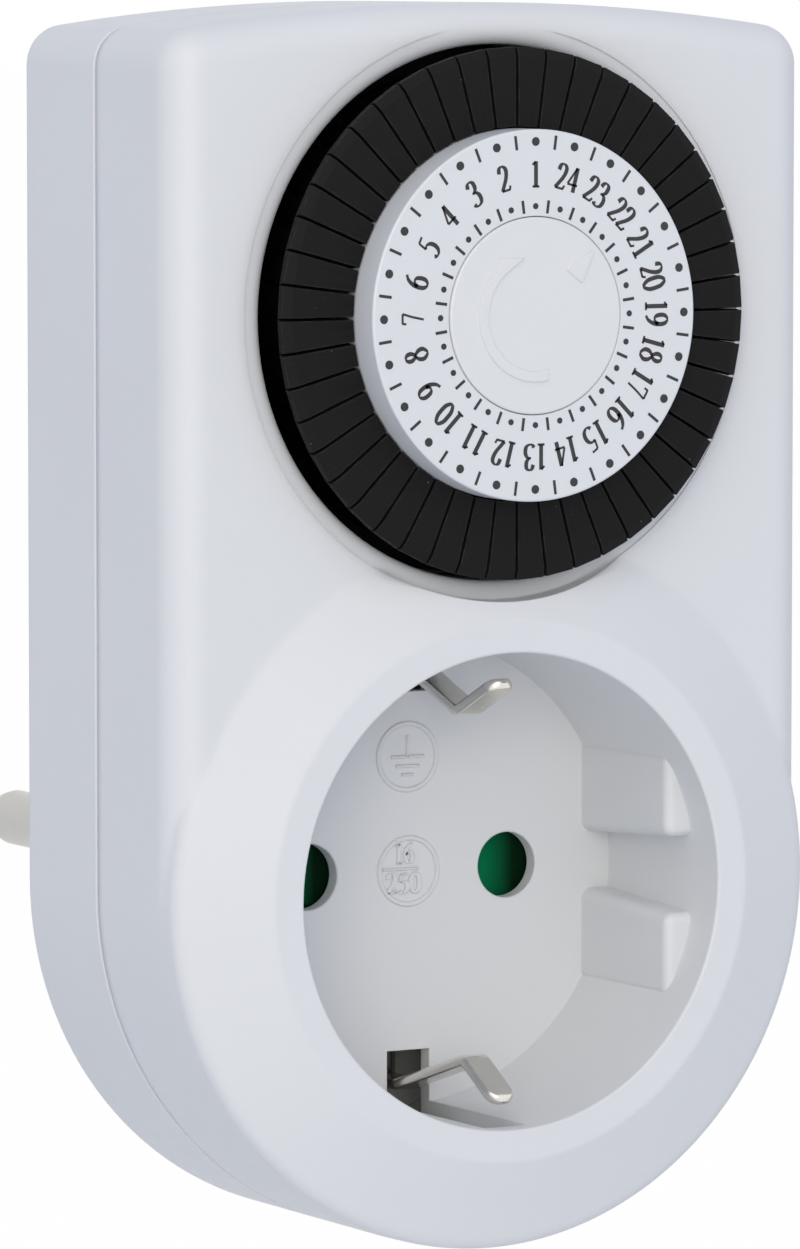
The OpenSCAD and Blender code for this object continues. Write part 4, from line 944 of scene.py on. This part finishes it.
# ---- Ring of switching segments ----
# Forty-eight charcoal nylon segments stand in a black carrier ring, half an hour each. A pushed-in
# segment switches on. Each has a wedge-shaped head with bevelled edges over a narrower body and leg.
SEGMENTS = 48
SEGMENT_FRONT = 54.3
SEGMENT_IN_R = 15.1
SEGMENT_OUT_R = 21.52
LIP_FLAT_R = 20.72
SEGMENT_GAP = 0.2
LIP_GAP = 0.03  # between two lips at their undersides, where their sides flare out
LIP_T = 1.05
LIP_FLARE = 0.35  # height of the flare above a lip's underside
LIP_TOP = (0.32, 0.24, 0.02)  # how far below the front the lip's sides, brow and slope end
NECK_R = 19.9
HEAD_Z = 49.35
LEG_IN_R = 16.6
LEG_OUT_R = 19.6
LEG_SPARE = 0.36
LEG_Z = 42.2
HEAD_BEVEL = 0.04
STEP_A = 2 * math.pi / SEGMENTS
CHARCOAL = (0.0088, 0.0088, 0.0094)
PALE_SPECK = (0.12, 0.12, 0.12)
WORN_GREY = (0.055, 0.055, 0.056)
WORN_R = 0.15
# Black painted shade below the lips' undersides:
PAINTED_SHADE_BEHIND_LIPS = (0.0008, 0.0008, 0.0009)
# Black of the carrier, set darker still as painted shade deep in the well:
CARRIER_BLACK_AND_SHADE = (0.002, 0.002, 0.0022)
MARKS = (90, 260, 1)  # marks round a radian of the ring, and along a metre of the radius
SPECKS = 2600.0  # blobs a metre: pale specks, worn patches and grain
WORN_PATCHES = 1100.0
NYLON_GRAIN = 4500.0


def wedge(inner, outer, spare, in_corner, out_corner):
    """Outline between two radii and two radial sides, less a spare on each side, along the x axis. Its
    inner and its outer corners are rounded by the last two radii."""
    lean = math.tan(STEP_A / 2)
    low, high = inner * lean - spare, outer * lean - spare
    return rounded([(inner, -low), (outer, -high), (outer, high), (inner, low)],
                   (in_corner, out_corner, out_corner, in_corner), 4)


def segment(angle):
    """Leg, head and lip of one segment as a single stack of outlines, turned to its place. The front slopes
    off towards the outer end, and its other edges are slightly bevelled."""
    half_gap = SEGMENT_GAP / 2
    front, under = SEGMENT_FRONT, SEGMENT_FRONT - LIP_T
    leg = wedge(LEG_IN_R, LEG_OUT_R, LEG_SPARE, 0.05, 0.1)
    neck = wedge(SEGMENT_IN_R + 0.05, NECK_R, half_gap + 0.04, 0.05, 0.1)
    head = wedge(SEGMENT_IN_R, SEGMENT_OUT_R, half_gap, 0.06, 0.1)
    under_lip = wedge(SEGMENT_IN_R, SEGMENT_OUT_R - 0.06, LIP_GAP / 2, 0.06, 0.08)
    brow = wedge(SEGMENT_IN_R + 0.02, SEGMENT_OUT_R - 0.07, half_gap + HEAD_BEVEL * 0.3, 0.06, 0.12)
    slope = wedge(SEGMENT_IN_R + 0.04, LIP_FLAT_R + 0.05, half_gap + HEAD_BEVEL * 0.7, 0.06, 0.1)
    face = wedge(SEGMENT_IN_R + 0.08, LIP_FLAT_R - 0.06, half_gap + HEAD_BEVEL, 0.05, 0.08)
    sides_end, brow_end, slope_end = (front - drop for drop in LIP_TOP)
    levels = [(leg, LEG_Z), (leg, HEAD_Z), (neck, HEAD_Z), (neck, under), (under_lip, under),
              (head, under + LIP_FLARE), (head, sides_end), (brow, brow_end), (slope, slope_end),
              (face, front)]
    c, s = math.cos(angle), math.sin(angle)
    spin = np.array([[c, s], [-s, c]])
    return stacked([(outline @ spin + DIAL, z) for outline, z in levels])


def charcoal_nylon():
    """Charcoal plastic with fine marks that run outwards from the dial's centre, a few pale specks and edges
    worn paler in patches, and painted shade: black below the lips' undersides, where the necks lie in shade."""
    material, tree, shader = new_material("segment_charcoal")
    from_centre = mapped(tree, own_place(tree), shift=(0, 0, -DIAL_RISE / 1000))
    way = axes(tree, from_centre)
    angle = calculated(tree, "ARCTAN2", way["Z"], way["X"])
    polar = new_node(tree, "CombineXYZ", {"X": angle, "Y": vector_value(tree, "LENGTH", from_centre)})
    marks = noise(tree, 1.0, 4.0, mapped(tree, polar[0], MARKS))
    colour = tinted(tree, spread(tree, marks, 0, 1), shade(CHARCOAL, 0.8), shade(CHARCOAL, 1.25))
    specks = spread(tree, noise(tree, SPECKS, 0.0), 0, 1, start=0.85, end=0.89)
    edge = new_node(tree, "Bevel", {"Radius": WORN_R / 1000}, samples=4)
    bent = vector_value(tree, "DOT_PRODUCT", edge[0], new_node(tree, "NewGeometry", {})["Normal"])
    edges = spread(tree, bent, 1, 0, start=0.80, end=0.985)
    patches = spread(tree, noise(tree, WORN_PATCHES, 3.0), 0.15, 0.95, start=0.40, end=0.62)
    worn = calculated(tree, "MULTIPLY", edges, patches)
    # Painted shade: below the lips' undersides the colour goes black, where the necks lie in shade.
    under_lip = -(SEGMENT_FRONT - LIP_T) / 1000
    deep = spread(tree, axes(tree, own_place(tree))["Y"], 0, 1, under_lip, under_lip + 0.0003)
    for share, speck_wear_and_shade in ((specks, PALE_SPECK), (worn, WORN_GREY), (deep, PAINTED_SHADE_BEHIND_LIPS)):
        colour = tinted(tree, share, colour, speck_wear_and_shade)
    grain = bumped(tree, noise(tree, NYLON_GRAIN), 0.012)
    feed(tree, shader, {
        "Base Color": colour,
        "Roughness": spread(tree, marks, 0.52, 0.68),
        "Specular IOR Level": 0.11,
        "Normal": bumped(tree, marks, 0.03, grain),
    })
    return material


charcoal = charcoal_nylon()
for hour in range(1, 25):
    first = math.pi / 2 + (2 * (hour - 1) + 0.5) * STEP_A
    pair = piece(f"hour_{hour}_segments", *joined([segment(first), segment(first + STEP_A)]))
    dressed(pair, f"hour_{hour}", charcoal, "segment_charcoal", f"segments_hour_{hour}")
# The carrier is black plastic, and its colour is set darker than that, as painted shade deep in the well.
carrier_black_and_shade = moulded_plastic("carrier_black_and_shade", CARRIER_BLACK_AND_SHADE, 0.5, 0.3, 0.003, mottle=0.1, gloss=0.1)
refinished("segment_carrier", carrier_black_and_shade)

# ---- Hour dial ----
# White disc with a deep rim, printed in black: the hours run anticlockwise, with a dot at each hour and a
# dash at each half hour, once outside the numerals and once, smaller, inside them.
DIAL_R = 15.0
DIAL_FRONT = 57.2
DIAL_WALL = 1.2
DIAL_EDGE_R = 0.22
CARRIER_Z = 42.15
CAP_R = 7.95
CAP_GAP = 0.06
CAP_Z = 55.7
INK_T = 0.02
NUMERAL_R = 11.4
NUMERAL_H = 2.15
NUMERAL_SQUEEZE = 0.98
OUTER_RING = (14.0, 0.36, 1.15, 0.24)  # radius, dot radius, dash length, dash width
INNER_RING = (8.81, 0.25, 1.05, 0.245)
DIAL_WHITE = (0.70, 0.715, 0.74)
INK = (0.028, 0.028, 0.032)


def hour_dial():
    """Cup turned from its profile: step behind the cap, opening, flat front, rounded edge, deep rim."""
    opening, inside, behind = CAP_R + CAP_GAP, DIAL_R - DIAL_WALL, DIAL_FRONT - DIAL_WALL
    profile = [(CAP_R - 1.2, CAP_Z - 1.1), (CAP_R - 1.2, CAP_Z - 0.1), (opening, CAP_Z - 0.1)]
    profile += bend((opening + 0.1, DIAL_FRONT - 0.1), 0.1, 180, 90, 3)
    profile += bend((DIAL_R - DIAL_EDGE_R, DIAL_FRONT - DIAL_EDGE_R), DIAL_EDGE_R, 90, 0, 6)
    profile += [(DIAL_R, CARRIER_Z + 2), (inside, CARRIER_Z + 2), (inside, behind),
                (CAP_R + 1.3, behind), (CAP_R + 1.3, CAP_Z - 1.1)]
    points, _ = turned(profile + profile[:1], DIAL, 192)
    return piece("dial_disc", points, loft_faces(len(profile) + 1, 192, False))


def on_dial(radius, angle):
    """Point at a radius and an angle in degrees about the dial's centre."""
    a = math.radians(angle)
    return DIAL[0] + radius * math.cos(a), DIAL[1] + radius * math.sin(a)


def printing():
    """Dots, dashes and numerals, as ink of an even thickness on the disc."""
    low, high = DIAL_FRONT - 0.01, DIAL_FRONT + INK_T
    shapes = []
    for hour in range(1, 25):
        angle = 90 + 15 * (hour - 1)
        for radius, dot, dash, width in (OUTER_RING, INNER_RING):
            shapes.append(turned([(dot, low), (dot, high)], on_dial(radius, angle), 24))
            ends = [on_dial(radius + way * dash / 2, angle - 7.5) for way in (-1, 1)]
            shapes.append(bar(*ends, width, low, high, 0))
        shapes += numeral(str(hour), NUMERAL_H, on_dial(NUMERAL_R, angle), angle - 90, low, high,
                          squeeze=NUMERAL_SQUEEZE)
    return piece("dial_printing", *joined(shapes))


dial_white = moulded_plastic("dial_white", DIAL_WHITE, 0.33, 0.35, 0.002, mottle=0.01)
dressed(hour_dial(), "dial", dial_white, "dial_white", "hour_dial")
ink = moulded_plastic("dial_ink", INK, 0.5, 0.2, 0.002, mottle=0.3)
dressed(printing(), "dial", ink, "segment_charcoal")

# ---- Cap in the middle of the dial ----
# White cap pressed on the fixed post. A raised arrow shows which way the dial turns, and a raised
# pointer marks the time of day.
CAP_FRONT = 57.32
CAP_EDGE_R = 0.2
POST_R = 2.02
SLEEVE_R = 3.4
SLEEVE_Z = 45.25
MARK_RISE = 0.2
MARK_EDGE = 0.08
ARROW_R = (4.45, 5.35)
ARROW_START_X = 1.1
ARROW_END = (-236, -223)  # degrees round the cap, on the inner and the outer side of the band
ARROW_BAR = [(-1.05, 4.7), (-3.4, 4.7)]
POINTER = [(5.5, 5.35), (2.65, 3.7), (4.25, 2.5)]
CAP_WHITE = (0.715, 0.725, 0.735)


def cap():
    """Cap turned from its profile: blind bore for the post, sleeve, disc and rounded edge."""
    profile = [(POST_R, CAP_Z - 0.2), (POST_R, SLEEVE_Z), (SLEEVE_R, SLEEVE_Z), (SLEEVE_R, CAP_Z),
               (CAP_R - 0.3, CAP_Z), (CAP_R, CAP_Z + 0.3)]
    profile += bend((CAP_R - CAP_EDGE_R, CAP_FRONT - CAP_EDGE_R), CAP_EDGE_R, 0, 90, 5)
    return piece("cap_disc", *turned(profile, DIAL, 144))


def cap_marks():
    """Arrow: an arc band from a square foot at the bottom, up the left side to a level bar. Pointer: a
    triangle whose tip nearly reaches the edge. Both have sloping sides."""
    low, high = CAP_FRONT - 0.05, CAP_FRONT + MARK_RISE
    foot = [-math.degrees(math.acos(ARROW_START_X / r)) for r in ARROW_R]
    outer = bend((0, 0), ARROW_R[1], foot[1], ARROW_END[1], 40)
    inner = bend((0, 0), ARROW_R[0], ARROW_END[0], foot[0], 40)
    band = np.array(outer + ARROW_BAR[::-1] + inner)[::-1]
    shapes = []
    for outline in (band, rounded(POINTER, 0.12, 3)):
        outline = outline + DIAL
        brow, top = inset(outline, 0.03), inset(outline, MARK_EDGE)
        shapes.append(stacked([(outline, low), (brow, high - MARK_EDGE * 0.8), (top, high)]))
    return piece("cap_marks", *joined(shapes), 60.0)


cap_white = moulded_plastic("cap_white", CAP_WHITE, 0.33, 0.3, 0.003, mottle=0.01)
dressed(cap(), "root", cap_white, "cap_white", "centre_cap")
dressed(cap_marks(), "root", cap_white, "cap_white")

# ---- Movement and wiring inside the case ----
# Gears of natural acetal, a small synchronous motor, copper strips, brass contacts and two leads. They
# keep the frame's meshes, and each has its own finish.
INSIDE = {  # finish: colour, roughness, nodes
    "inner_plastic": ((0.78, 0.76, 0.68), 0.45, ("shutter_retainer", "switch_lever")),
    "gear_plastic": ((0.80, 0.76, 0.62), 0.38, ("gear_1", "gear_2", "drive_wheel")),
    "holder_brown": ((0.035, 0.028, 0.024), 0.42, ("contact_holder",)),
    "override_red": ((0.55, 0.03, 0.02), 0.36, ("override_slide",)),
    "lead_blue": ((0.06, 0.12, 0.42), 0.42, ("motor_leads",)),
    "winding": ((0.32, 0.07, 0.025), 0.5, ("motor_coil",)),
    "magnet": ((0.05, 0.05, 0.055), 0.5, ("rotor",)),
}
STEEL_PARTS = ("shutter_spring", "lever_pin", "motor_cup", "motor_plate", "motor_screws", "gear_axles",
               "clutch_spring", "dial_arbor")
METALS = {
    "copper": ((0.83, 0.42, 0.25), 0.3, ("live_busbar", "switched_busbar", "neutral_busbar")),
    "contact_brass": ((0.78, 0.57, 0.25), 0.3, ("live_contact", "neutral_contact", "switch_blade")),
    "bright_steel": ((0.6, 0.6, 0.61), 0.28, STEEL_PARTS),
}
for name, (colour, rough, nodes) in INSIDE.items():
    material = moulded_plastic(name, colour, rough, 0.25, 0.004, mottle=0.04)
    for node in nodes:
        refinished(node, material)
for name, (colour, rough, nodes) in METALS.items():
    material = drawn_metal(name, colour, rough)
    for node in nodes:
        refinished(node, material)
